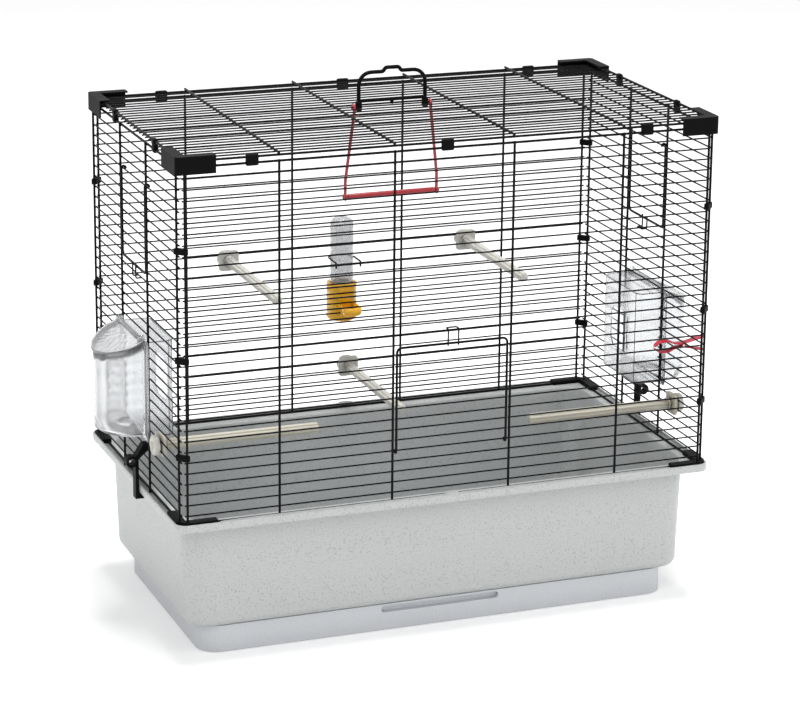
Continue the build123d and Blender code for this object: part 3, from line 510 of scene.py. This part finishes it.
# the wire panels: round wires with eased cut ends and a weld bead at each crossing

def splitRow(half, openings, height):
    for side, low, high in openings:
        if low < height < high:
            return [(-half, cage["rowEnd"] - side), (side - cage["rowEnd"], half)]
    return [(-half, half)]


def wirePanel(name, side, edge, uprights, openings):
    thick, thin, gap = cage["thick"], cage["thin"], cage["gap"]
    places = np.array([-edge, *uprights, edge])
    half = edge + thick + cage["rowEnd"]
    low = np.stack([places, 0 * places, 0 * places + cage["bottomRail"] - thick], 1)
    high = np.stack([places, 0 * places, 0 * places + cage["topRail"] + cage["tip"]], 1)
    rails = np.array([cage["bottomRail"], cage["topRail"]])
    railLow = np.stack([0 * rails - half, 0 * rails + lapThick, rails], 1)
    railHigh = railLow * [-1, 1, 1]
    pieces = [(left, right, rowHeight(row)) for row in range(1, cage["rows"] + 1)
              for left, right in splitRow(half, openings, rowHeight(row))]
    left, right, level = np.array(pieces).T
    rowLow = np.stack([left, 0 * left + lapThin, level], 1)
    rowHigh = np.stack([right, 0 * left + lapThin, level], 1)
    meets = (places[None] > left[:, None]) & (places[None] < right[:, None])
    row, post = np.nonzero(meets)
    welds = np.stack([places[post], 0 * level[row] + thick + gap, level[row]], 1)
    railWelds = np.array([(x, thick + gap, z) for x in places for z in rails])
    parts = [
        straightWires(low, high, thick), straightWires(railLow, railHigh, thick),
        straightWires(rowLow, rowHigh, thin),
        beads(welds, weldBeads["row"]), beads(railWelds, weldBeads["rail"]),
    ]
    parts = [moved(part, lambda p: onPanel(p, side)) for part in parts]
    addPiece(name, parts, "blackWire", "cage", [side + "_panel"])


frontUprights = (-cage["outerUpright"], -cage["innerUpright"], cage["innerUpright"], cage["outerUpright"])
sideUprights = (-cage["sideUpright"], cage["sideUpright"])


def doorOpening(half, rows):
    return half, rowHeight(rows[1]) + cage["thin"], rowHeight(rows[0]) - cage["thin"]


frontOpening = doorOpening(cage["innerUpright"], cage["frontDoorRows"])
sideOpenings = [
    doorOpening(cage["sideUpright"], cage["sideDoorRows"]),
    (cage["sideUpright"], cage["feederLow"], cage["feederHigh"]),
]
wirePanel("frontWires", "front", frontEdge, frontUprights, [frontOpening])
wirePanel("backWires", "back", frontEdge, frontUprights, [])
wirePanel("leftWires", "left", sideEdge, sideUprights, sideOpenings)
wirePanel("rightWires", "right", sideEdge, sideUprights, sideOpenings)


def roofWires():
    endX = roofHalfX + cage["thick"] + cage["rowEnd"]
    endY = roofHalfY + cage["thick"] + cage["rowEnd"]
    rails = np.array([-roofHalfY, roofHalfY])
    rows = -roofHalfY + roofPitch * np.arange(1, cage["roofRows"])
    cross = np.array([-roofHalfX, *frontUprights, roofHalfX])

    def along(places, level):
        low = np.stack([0 * places - endX, places, 0 * places + level], 1)
        return low, low * [-1, 1, 1]
    over = np.stack([cross, 0 * cross - endY, 0 * cross + roofUpper], 1)
    weldX, weldY = (part.ravel() for part in np.meshgrid(cross, np.concatenate([rails, rows])))
    welds = np.stack([weldX, weldY, 0 * weldX + roofUpper - cage["thick"]], 1)
    parts = [
        straightWires(*along(rails, cage["roofLevel"]), cage["thick"]),
        straightWires(*along(rows, roofThin), cage["thin"]),
        straightWires(over, over * [1, -1, 1], cage["thick"]), beads(welds, weldBeads["roof"]),
    ]
    addPiece("roofWires", parts, "blackWire", "cage", ["roof_panel"])


roofWires()
print("panels drawn")


# the three hung doors: a thick frame that curls round its hinge row, thin rows and a latch loop

doorMake = {"inset": 3.8, "room": 0.1, "bend": 5, "loopHalf": 5.5, "loopBend": 1.6}
doors = {
    "front": {"half": 62.3, "rows": 9, "length": 105.93, "reach": 121.03, "shift": 0.0},
    "left": {"half": 45.3, "rows": 7, "length": 87.87, "reach": 99.37, "shift": -7.0},
    "right": {"half": 45.3, "rows": 7, "length": 87.87, "reach": 99.37, "shift": -7.0},
}


def onDoor(points, side):
    x, y, z = points[..., 0], points[..., 1], points[..., 2]
    if side == "front":
        return np.stack([x, y - cage["halfDepth"] + lapThin, z + rowHeight(cage["frontDoorRows"][1])], -1)
    sign = -1 if side == "left" else 1
    top = rowHeight(cage["sideDoorRows"][0])
    return np.stack([sign * (cage["halfLength"] - lapThin - y), -sign * x, top - z], -1)


def hungDoor(side, half, rows, length, reach, shift):
    thick, thin, bend, loopHalf = cage["thick"], cage["thin"], doorMake["bend"], doorMake["loopHalf"]
    edge = half - doorMake["inset"]
    curl = thin + thick + doorMake["room"]
    hug = curl - doorMake["room"] / 2
    below = -curl - doorMake["room"] / 2
    foot = np.array([(-edge, curl, thick * 0.6), (-edge, curl, below), (-edge, -curl, below), (-edge, -curl, length)])
    outline = np.concatenate([foot, (foot * [-1, 1, 1])[::-1]])
    frameWire = tube(roundPath(outline, [hug, hug, bend, bend, hug, hug]), thick)
    front = -curl - thick - thin - cage["gap"]
    loop = np.array([(loopHalf, front, length - 2), (loopHalf, front, reach), (loopHalf, thin + 1, reach)])
    loop = np.concatenate([loop * [-1, 1, 1], loop[::-1]]) + [shift, 0, 0]
    latch = tube(roundPath(loop, [doorMake["loopBend"]] * 4), thin)
    level = cage["pitch"] * np.arange(1, rows + 1)
    low = np.stack([0 * level - edge - cage["rowEnd"], 0 * level, level], 1)
    weldX, weldZ = (part.ravel() for part in np.meshgrid([-edge, edge], level))
    welds = beads(np.stack([weldX, 0 * weldX - thin - doorMake["room"] / 2, weldZ], 1), weldBeads["door"])
    ties = [(shift + sign * loopHalf, -curl - thick, length) for sign in (-1, 1)]
    tops = beads(ties, weldBeads["loop"])
    parts = [frameWire, latch, straightWires(low, low * [-1, 1, 1], thin), welds, tops]
    parts = [moved(part, lambda p: onDoor(p, side)) for part in parts]
    name = side + "_door"
    addPiece(side + "DoorWires", parts, "blackWire", name, [name + "_frame", name + "_rows"])


for side, values in doors.items():
    hungDoor(side, **values)
print("doors drawn")


# the carrying handle, the swing and the drinker's wire bow

handle = {"half": 36.0, "top": 543.0, "hump": 4, "foot": 512, "bar": 514, "wire": 2.0, "thin": 1.8, "bend": 13}
swing = {"topHalf": 41.6, "footHalf": 50.0, "low": 415.0, "wire": 1.6, "eye": 3.1, "bar": 3.0, "tenon": 2.0}
drinker = {"out": 17.1, "radius": 12.5, "shelf": 269.66, "top": 354.0, "bowRow": 18, "cupRow": 23, "bowWire": 1.0}


def levelBar(half, inner, y, z, radius, sides, x=0.0):
    # a straight bar along x whose ends are eased
    return tube([(x + off, y, z) for off in (-half, -inner, inner, half)], radius, sides)


def carryingHandle():
    y, half, top, foot, bar, thin = hangingPlace, *(handle[key] for key in ("half", "top", "foot", "bar", "thin"))
    grip = [(-half, y, top), (-10, y, top), (-7, y, top + handle["hump"])]
    outline = [(-half, y, foot), *grip, *((-x, y, z) for x, y, z in grip[::-1]), (half, y, foot)]
    stem = [(0, y, z) for z in (roofThin + 1.1, bar - 4, foot, bar)]
    parts = [
        tube(roundPath(outline, [handle["bend"], 3, 3, 3, 3, handle["bend"]]), handle["wire"], 18),
        levelBar(half, 12, y, bar, thin, 16), tube(stem, thin, 16),
    ]
    parts += [pillow((x - 3, y - 2.7, 503.5), (x + 3, y + 2.7, bar), 6) for x in (-half, half)]
    addPiece("carryHandle", parts, "blackPlastic", "cage", ["handle"])


def swingSet():
    y, low, wire, eye = hangingPlace, swing["low"], swing["wire"], swing["eye"]
    hook = cage["thin"] + wire + 0.1
    parts = []
    for sign in (-1, 1):
        top, foot = sign * swing["topHalf"], sign * swing["footHalf"]
        hanger = [(y + hook, roofThin - hook), (y + hook, roofThin + hook), (y - hook, roofThin + hook),
                  (y - hook, roofThin - 2 * hook)]
        outline = [(top, *place) for place in hanger] + [(foot, y, low + 16.8), (foot, y, low + 3)]
        parts.append(tube(roundPath(outline, [hook - 0.05, hook - 0.05, 20, 20]), wire, 16))
        turn = np.linspace(0, 2 * np.pi, 28, endpoint=False)
        ring = np.stack([0 * turn + foot, y + eye * np.cos(turn), low + eye * np.sin(turn)], 1)
        parts.append(tube(ring, 1.05, 12, closed=True))
        parts.append(pillow((foot - 2, y - 3.3, low - 3.3), (foot + 2, y + 3.3, low + 3.3), 3.4))
    addPiece("swingArms", parts, "swingRed", "swing", ["swing_arms"])
    inner, outer = swing["footHalf"] - 2.3, swing["footHalf"] + 3
    bar = [levelBar(inner, 15, y, low, swing["bar"], 24), levelBar(outer, 20, y, low, swing["tenon"], 16)]
    addPiece("swingBar", bar, "swingRed", "swing", ["swing_perch"])


def drinkerBow():
    wire = drinker["bowWire"]
    z = rowHeight(drinker["bowRow"]) + 2.1
    bow, hookY = drinker["radius"] + wire + 0.3, lapThin + cage["thin"] + wire + 0.3
    far = -drinker["out"] - bow
    half = [(bow, hookY, z - 6), (bow, hookY, z), (bow, far, z)]
    outline = half + [(-x, y, z) for x, y, z in half[::-1]]
    part = tube(roundPath(outline, [1.6, bow - 0.05, bow - 0.05, 1.6], 14), wire, 12)
    part = moved(part, lambda p: onPanel(p, "back"))
    addPiece("drinkerBow", [part], "blackWire", "cage", ["drinker_holder"])


carryingHandle()
swingSet()
drinkerBow()


# the drinker: a clear tube with a domed crown, thick at the lip, over an amber cup with a trough

def turnedOnBack(profile):
    # a closed profile turned about the drinker's upright line, on the back panel's axes
    corners, quads, ends = lathe(profile, (0, -drinker["out"]))
    return gridPart(corners.reshape(1, len(profile), -1, 3), closedAlong=True)


def drinkerTube():
    low, top, radius, wall, shoulder = drinker["shelf"], drinker["top"], drinker["radius"], 1.4, 8
    turn = np.linspace(0, np.pi / 2, 10)
    domeX, domeZ = radius - shoulder, top - shoulder
    crown = np.stack([domeX + shoulder * np.cos(turn), domeZ + shoulder * np.sin(turn)], 1)
    inner = np.stack([domeX + (shoulder - wall) * np.cos(turn), domeZ + (shoulder - wall) * np.sin(turn)], 1)[::-1]
    levels = np.linspace(low + 0.5, domeZ, 8)[:-1]
    outer = [(radius - wall, low), (radius - 0.4, low), (radius, low + 0.5)] + [(radius, z) for z in levels[1:]]
    back = [(radius - wall, z) for z in levels[::-1]]
    profile = np.concatenate([outer, crown, [(0.05, top)], [(0.05, top - wall)], inner, back])
    part = moved(turnedOnBack(profile), lambda p: onPanel(p, "back"))
    addPiece("drinkerTube", [part], "mistedPlastic", "drinker_tube", ["drinker_tube"])


def troughRing(spread, level):
    # the trough's plan: straight sides and a round nose
    half, nose, front, behind = 10.0 - spread, 6, 24, -8.0
    turn = np.linspace(-np.pi / 2, np.pi / 2, 16)
    plan = np.stack([half * np.sin(turn), front - spread - nose + nose * np.cos(turn), 0 * turn + level], 1)
    return np.concatenate([plan, [(half, behind, level), (-half, behind, level)]])


def drinkerCup():
    bottom, top, radius, wall, foot = 240.0, 282.0, 16.5, 1.8, 5
    turn = np.linspace(0, np.pi / 2, 8)
    heel = np.stack([radius - foot + foot * np.sin(turn), bottom + foot - foot * np.cos(turn)], 1)
    ribs = np.linspace(bottom + foot, top - 1.2, 26)
    ripple = radius - 0.25 + 0.25 * np.cos(np.linspace(0, 10 * np.pi, 26))
    lip = [(radius - 0.3, top - 0.3), (radius - 1, top), (12.95, top), (12.62, top - 0.6)]
    seat = [(12.62, 269.7), (11.0, 269.6), (11.0, 268.0), (radius - wall, 267.9)]
    inside = [(radius - wall, bottom + foot), (radius - foot, bottom + wall), (0.05, bottom + wall)]
    cup = turnedOnBack(np.concatenate([[(0.05, bottom)], heel, np.stack([ripple, ribs], 1), lip, seat, inside]))
    low = rowHeight(drinker["cupRow"]) + 1.1
    high = low + 8.4
    outside = [(3, low), (0.8, low), (0, low + 1), (0, high - 0.5), (0.5, high)]
    hollow = [(1.5, high), (2, high - 0.6), (2.2, low + 2), (4, low + 1.4)]
    trough = gridPart(np.stack([troughRing(*ring) for ring in outside + hollow])[None])
    parts = [moved(part, lambda p: onPanel(p, "back")) for part in (cup, trough)]
    addPiece("drinkerCup", parts, "amberPlastic", "cage", ["drinker_base"])


drinkerTube()
drinkerCup()
print("drinker, swing and handle drawn")


# perches: a fluted rod with a domed tip, a cushioned square plate and a nut outside

perches = {
    "left_back_perch": ("back", 135.0, 16, "warmGreyPlastic", "warm_grey"),
    "right_back_perch": ("back", -135.0, 16, "warmGreyPlastic", "warm_grey"),
    "centre_back_perch": ("back", 0.0, 28, "warmGreyPlastic", "warm_grey"),
    "left_low_perch": ("left", 72.0, 27, "creamPlastic", "cream"),
    "right_low_perch": ("right", -87.0, 28, "creamPlastic", "cream"),
}


perch = {"radius": 5.5, "fluteDepth": 0.95, "flutes": 8, "plate": 11, "plateDeep": 4, "collar": 6.6, "neck": 3.8,
         "room": 0.3}


def stubAt(x, z, levels, radius, sides):
    # a short round stub that runs inward from the panel
    return tube([(x, level, z) for level in levels], radius, sides)


def perchPiece(node, side, x, row, material, slot):
    z = rowHeight(row + 0.5)
    start = lapThin + cage["thin"] + perch["room"]
    half = perch["plate"]
    turn = np.linspace(0, 2 * np.pi, 96, endpoint=False)
    off = np.array([2.0, 30, 60, 90, 120, 150, 162, 163.6, 164.6, 165.0]) + start
    shrink = np.array([1, 1, 1, 1, 1, 1, 1, 0.96, 0.86, 0.6])
    # the flutes: the radius drops as a sharpened cosine of the angle times their number
    groove = np.clip(0.5 + 0.5 * np.cos(perch["flutes"] * turn), 0, 1) ** 1.6
    reach = perch["radius"] - perch["fluteDepth"] * groove
    ring = reach[None] * shrink[:, None]
    rod = np.stack([x + ring * np.cos(turn), np.broadcast_to(off[:, None], ring.shape), z + ring * np.sin(turn)], -1)
    collar = stubAt(x, z, start + np.array([3.4, 4.6, 6.4, 7.4]), perch["collar"], 32)
    plate = pillow((x - half, start, z - half), (x + half, start + perch["plateDeep"], z + half), 7, 10, 56)
    neck = stubAt(x, z, start + np.array([-9.4, -6, -3, 0.6]), perch["neck"], 24)
    parts = [moved(part, lambda p: onPanel(p, side)) for part in (gridPart(rod[None]), collar, plate, neck)]
    addPiece(node.replace("_", " ").title().replace(" ", ""), parts, material, "cage", [node])


def perchNuts():
    # a three-lobed ring round each neck: outside face, rim, then the bore
    lobeBase, lobeRise, bore, mouth = 9.2, 1.1, 3.87, 4.4
    turn = np.linspace(0, 2 * np.pi, 72, endpoint=False)
    lobe = lobeBase + lobeRise * np.abs(np.cos(3 * turn)) ** 0.7
    inset = np.array([0.8, 0.2, 0.0, 0.0, 0.4, 1.2])
    rim = np.maximum(lobe[None] - inset[:, None], bore)
    hole = np.broadcast_to(np.array([mouth, bore, bore])[:, None], (3, len(turn)))
    reach = np.concatenate([rim, hole])
    levels = lapThin - cage["thin"] - perch["room"] - np.array([0.0, 0.4, 1.2, 4.8, 5.6, 6.0, 6.0, 5.2, 0.0])
    parts = []
    for side, x, row, material, slot in perches.values():
        z = rowHeight(row + 0.5)
        grid = np.stack([x + reach * np.cos(turn), np.broadcast_to(levels[:, None], reach.shape),
                         z + reach * np.sin(turn)], -1)
        parts.append(moved(gridPart(grid[None], closedAlong=True), lambda p: onPanel(p, side)))
    addPiece("perchNuts", parts, "warmGreyPlastic", "cage", ["perch_nuts"])


for node, values in perches.items():
    perchPiece(node, *values)
perchNuts()


# clips: rounded blocks that wrap two wires, with a waist between them

clip = {"round": 2.8, "waist": 0.14, "edge": 0.8}


def clipSet(name, node, clips):
    turn = np.linspace(0, 2 * np.pi, 40, endpoint=False)
    blunt = np.sign(np.cos(turn)) * np.abs(np.cos(turn)) ** 0.5
    flat = clip["round"] * np.sign(np.sin(turn)) * np.abs(np.sin(turn)) ** 0.55
    share = np.array([-1, -0.97, -0.88, -0.6, 0, 0.6, 0.88, 0.97, 1])
    shrink = 1 - np.array([0.75, 0.25, 0.05, 0, 0, 0, 0.05, 0.25, 0.75]) * clip["edge"] / clip["round"]
    parts = []
    for centre, across, along, half, length in clips:
        across, along = np.asarray(across, float), np.asarray(along, float)
        side = np.cross(along, across)
        wide = half + clip["round"]
        x = wide * blunt
        y = flat * (1 - clip["waist"] + clip["waist"] * np.clip(np.abs(x) / wide * 1.6, 0, 1))
        off = share * length / 2
        grid = (np.asarray(centre, float) + off[:, None, None] * along
                + (shrink[:, None] * x)[..., None] * across + (shrink[:, None] * y)[..., None] * side)
        parts.append(gridPart(grid[None]))
    addPiece(name, parts, "blackPlastic", "cage", [node])


longHalf = (cage["roofLevel"] - cage["topRail"]) / 2
shortHalf = (roofUpper - cage["topRail"]) / 2
postSpan = math.hypot(cage["inset"], cage["inset"])
shortPlace = -roofHalfY + roofPitch * 20.5
clipSet("longClips", "long_clips", [
    ((x, sign * roofHalfY, cage["topRail"] + longHalf), (0, 0, 1), (1, 0, 0), longHalf, 12.0)
    for sign in (-1, 1) for x in (-206.0, -7.0, 206.0)])
clipSet("shortClips", "short_clips", [
    ((sign * roofHalfX, y, cage["topRail"] + shortHalf), (0, 0, 1), (0, 1, 0), shortHalf, 7.0)
    for sign in (-1, 1) for y in (-shortPlace, shortPlace)])
clipSet("postClips", "post_clips", [
    ((sx * (frontEdge + cage["halfLength"]) / 2, sy * (sideEdge + cage["halfDepth"]) / 2, rowHeight(row + 0.5)),
     (sx * math.sqrt(0.5), -sy * math.sqrt(0.5), 0), (0, 0, 1), postSpan / 2, 6.0)
    for sx in (-1, 1) for sy in (-1, 1) for row in (7, 17, 26)])
print("perches and clips drawn")


# feeders: a half round hopper with flutes and a plate, a lumpy sloping lid and the hood inside

feeder = {
    "plateHalf": 52.0, "low": 200.0, "height": 103.0, "wall": 1.8, "half": 44.0, "sideDepth": 14.0,
    "depth": 40.0, "drop": 16.5, "back": 1.55, "lidLap": 1.4, "corner": 3.5, "ease": 0.4, "flute": 0.9,
    "flutes": 14, "mouthHalf": 38.0, "mouthTall": 45.4, "mouthCorner": 1.5, "pin": 1.3, "pinHalf": 41,
}
plateFront = feeder["back"] + feeder["wall"]
feederTop = feeder["low"] + feeder["height"]


def hopperPlan(spread, flute=0.0):
    # half round plan: two straight sides joined by an arc, with shallow flutes along the arc
    half = feeder["half"] + spread
    bulge = feeder["depth"] + spread - feeder["sideDepth"]
    radius = (half ** 2 + bulge ** 2) / (2 * bulge)
    turn = np.linspace(-1, 1, 60) * math.asin(half / radius)
    ripple = flute * 0.5 * (1 - np.cos(feeder["flutes"] * turn)) * np.clip(1.15 - np.abs(turn), 0, 1)
    arcX = (radius - ripple) * np.sin(turn)
    arcY = -plateFront - feeder["sideDepth"] - bulge + radius - (radius - ripple) * np.cos(turn)
    side = np.linspace(-plateFront, -plateFront - feeder["sideDepth"], 6)[:-1]
    x = np.concatenate([np.full(len(side), -half), arcX, np.full(len(side), half)])
    return x, np.concatenate([side, arcY, side[::-1]])


def slopeAt(y):
    return feederTop - feeder["wall"] + (y + plateFront) * feeder["drop"] / feeder["depth"]


def hopperWall(plan, foot):
    x, y = plan
    z = foot + (slopeAt(y) - 0.15 - foot) * np.linspace(0, 1, 9)[:, None]
    return np.stack([np.broadcast_to(x, z.shape), np.broadcast_to(y, z.shape), z], -1)


def hopperFloor(plan, level, shares):
    # rings that shrink from the wall's foot towards the middle of the plate
    x, y = plan
    grow = np.array(shares)[:, None]
    return np.stack([x * grow, -plateFront + (y + plateFront) * grow, 0 * x * grow + level], -1)


def feederPlate():
    # a flat frame with eased edges round its outline and its mouth
    half, tall, corner, ease = feeder["plateHalf"], feeder["height"] / 2, feeder["corner"], feeder["ease"]
    mouth, high, turn = feeder["mouthHalf"], feeder["mouthTall"], feeder["mouthCorner"]
    front, back = -plateFront, -feeder["back"]
    face = [(half - ease, tall - ease, corner - ease), (mouth + 0.5, high + 0.5, turn)]
    edge = [(half, tall, corner), (mouth, high, turn)]
    frames = [(*edge[0], front + ease), (*face[0], front), (*face[1], front), (*edge[1], front + ease),
              (*edge[1], back - ease), (*face[1], back), (*face[0], back), (*edge[0], back - ease)]
    middle = feeder["low"] + tall
    return moved(ringSurface(frames, 0, 7), lambda p: np.stack([p[:, 0], p[:, 2], middle - p[:, 1]], -1))


def feederHopper(side):
    outer, inner = (hopperPlan(spread, feeder["flute"]) for spread in (0, -feeder["wall"]))
    floor = feeder["low"] + 4.0
    rings = np.concatenate([
        hopperFloor(outer, floor, [0.02, 0.5, 0.93, 0.985]), hopperWall(outer, floor + 0.9),
        hopperWall(inner, floor + 2.8)[::-1], hopperFloor(inner, floor + feeder["wall"], [0.97, 0.9, 0.5, 0.02]),
    ])
    shell = gridPart(rings.transpose(1, 0, 2)[None])
    ears = [pillow((low, -plateFront - 5.6, feederTop - 8), (high, -feeder["back"], feederTop + 4.4), 6, 7, 32)
            for low, high in ((-40, -37), (37, 40))]
    parts = [moved(part, lambda p: onPanel(p, side)) for part in (shell, feederPlate(), *ears)]
    addPiece(side + "Hopper", parts, "clearPlastic", "cage", [side + "_feeder_hopper"])


def lidSheet(plan, lift, rough):
    # pressed pebbles: two crossed sine fields whose peaks stand up from the sheet
    x, y = plan
    shares = np.concatenate([[0.02], np.linspace(0.12, 0.95, 12), [0.985, 1.0]])[:, None]
    middle = -plateFront - 7.5
    px, py = x * shares, middle + (y - middle) * shares
    pebble = np.sin(px * 0.62 + 1.3 * np.sin(py * 0.35)) * np.sin(py * 0.71 + 1.1 * np.sin(px * 0.3))
    fade = np.clip((1 - shares) * 6, 0, 1)
    return np.stack([px, py, slopeAt(py) + 0.42 + lift + rough * (0.5 + 0.5 * pebble) * fade], -1)


def feederLid(side):
    x, y = hopperPlan(feeder["lidLap"] - 0.05)
    plan = x * 0.999, np.minimum(y, -plateFront - 0.6)
    lid = gridPart(np.concatenate([lidSheet(plan, 0.0, 0.0), lidSheet(plan, 1.5, 0.5)[::-1]])[None])
    pinY, pinZ = -plateFront - 3.0, feederTop + 1.8
    pin = levelBar(feeder["pinHalf"], 15, pinY, pinZ, feeder["pin"], 16)
    knuckle = pillow((-32, pinY - feeder["pin"], feederTop - 2.5), (32, pinY + feeder["pin"], pinZ + 1.0), 6, 7, 32)
    parts = [moved(part, lambda p: onPanel(p, side)) for part in (lid, pin, knuckle)]
    name = side + "_feeder_lid"
    addPiece(side + "FeederLid", parts, "clearPlastic", name, [name])


for side in ("left", "right"):
    feederHopper(side)
    feederLid(side)
print("feeders drawn")


# the peg: two moulded levers, thick at the grip and thin at the jaw, on a steel pin

peg = {
    "place": -90.0, "pivotY": -3.0, "row": 23, "rise": 4.35, "boss": 2.6,
    "lugs": {"upper": (-3.3, 3.3), "lower": (0.0,)},
    # at each station from the jaw to the grip: run, height, half thickness and half width
    "stations": [(32, 1.1, 0.95, 3.4), (27, 5.2, 1.0, 4.0), (17, 5.9, 1.1, 4.0), (8.5, 2.1, 0.9, 4.0),
                 (0, 1.9, 1.0, 4.0), (-8, 3.4, 1.15, 4.0), (-17, 5.6, 1.35, 4.0), (-26, 7.6, 1.2, 3.6)],
}


def pegLevers():
    place, pivotY, pivotZ = peg["place"], peg["pivotY"], rowHeight(peg["row"]) + peg["rise"]
    stations = np.array(peg["stations"])
    last = len(stations) - 1
    share = np.linspace(0, last, 50)
    drawn = np.stack([np.interp(share, range(last + 1), column) for column in stations.T], 1)
    run = drawn[:, :2].copy()
    for smoothing in range(3):
        run[1:-1] = run[:-2] * 0.25 + run[1:-1] * 0.5 + run[2:] * 0.25
    # cross ribs on the grip, where the fingers press
    rib = 0.18 * np.clip(np.sin(share * 9.0), 0, 1) * (share > 5.2)
    end = np.clip(np.minimum(share, last - share) * 4, 0.35, 1) ** 0.5
    half = drawn[:, 2] * end + rib
    breadth = drawn[:, 3] * end
    turn = np.linspace(0, 2 * np.pi, 28, endpoint=False)
    across = np.sign(np.cos(turn)) * np.abs(np.cos(turn)) ** 0.45
    over = np.sign(np.sin(turn)) * np.abs(np.sin(turn)) ** 0.6
    for name, sign, body in (("upper", 1, "peg_upper_lever"), ("lower", -1, "cage")):
        x = place + breadth[:, None] * across
        y = np.broadcast_to(pivotY + run[:, :1], x.shape)
        z = pivotZ + sign * (run[:, 1:] + half[:, None] * over)
        parts = [gridPart(np.stack([x, y, z], -1)[None])]
        parts += [levelBar(0.65, 0.3, pivotY, pivotZ, peg["boss"], 28, place + lug) for lug in peg["lugs"][name]]
        parts = [moved(part, lambda p: onPanel(p, "right")) for part in parts]
        addPiece(name + "Lever", parts, "pegRed", body, ["peg_" + name + "_lever"])


pegLevers()


# the tub: one closed profile of rounded rectangles, from the opening's edge round foot, wall, rim and floor

tub = {
    "lean": math.tan(math.radians(2.1)), "foot": 28.8, "wall": 2.4, "seat": 144.9, "lipLow": 140.0,
    "halfLong": 271.5, "halfDeep": 141.0, "corner": 26.0, "footRound": 9.5,
    # the opening in the floor, then the rim from its underside over the groove's inner wall
    "cut": (244.1, 117.8, 18.0),
    "rim": [(283.2, 156.2, 9.4, 142.5), (284.0, 157.0, 10, 141.8), (284.0, 157.0, 10, 140.4),
            (284.4, 157.4, 10.4, 140.0), (285.6, 158.6, 11.6, 140.0), (286.0, 159.0, 12, 140.4),
            (286.0, 159.0, 12, 147.2), (285.7, 158.7, 11.7, 147.8), (285.2, 158.2, 11.2, 148.0),
            (284.6, 157.6, 10.6, 148.0), (284.1, 157.1, 10.1, 147.7), (284.0, 157.0, 10, 147.2),
            (284.0, 157.0, 10, 145.2), (283.7, 156.7, 9.7, 144.9)],
    "tab": ((7.5, 151.2, 147.75), (7.5, 158.2, 149.74)), "ledge": ((242, 154.4, 145.0), (242, 157.3, 148.5)),
}


def tubWall(z, inset=0.0):
    shrink = (tub["lipLow"] - z) * tub["lean"] + inset
    return tub["halfLong"] - shrink, tub["halfDeep"] - shrink, tub["corner"] - shrink, z


def tubFoot(bottom, inset, bend):
    # the round from the floor up to the wall, a quarter turn
    return [tubWall(bottom + bend - bend * math.cos(angle), inset + bend * (1 - math.sin(angle)))
            for angle in np.linspace(0, np.pi / 2, 9)]


def frontAndBack(corners, power, rings, sides):
    # one rounded block along the front rim and its twin along the back
    (half, near, low), (half, far, high) = corners
    return [pillow((-half, min(sign * near, sign * far), low), (half, max(sign * near, sign * far), high),
                   power, rings, sides) for sign in (-1, 1)]


def tubShell():
    foot, wall, seat, cut = (tub[key] for key in ("foot", "wall", "seat", "cut"))
    stations = [(*cut, foot + 0.01), *tubFoot(foot, 0, tub["footRound"])]
    stations += [tubWall(z) for z in (50, 75, 100, 120, 135, 141.2)]
    stations += [tubWall(142.2, -0.6), tubWall(142.5, -1.8), *tub["rim"]]
    stations += [tubWall(seat, wall - 1.2), tubWall(seat - 0.5, wall - 0.3)]
    stations += [tubWall(z, wall) for z in (143.0, 135, 115, 90, 65, 45)]
    stations += tubFoot(foot + wall, wall, tub["footRound"] - 1.6)[::-1]
    stations += [(*(size + 0.8 for size in cut), foot + wall), (*cut, foot + wall - 0.6)]
    # the tabs over the rail, and a ledge in the groove that hides the foot rail from the front
    parts = [ringSurface(stations, 6, 14), *frontAndBack(tub["tab"], 7, 6, 36), *frontAndBack(tub["ledge"], 9, 6, 44)]
    addPiece("speckledTub", parts, "speckledTub", "cage", ["base_tub"])


tubShell()
print("tub drawn")
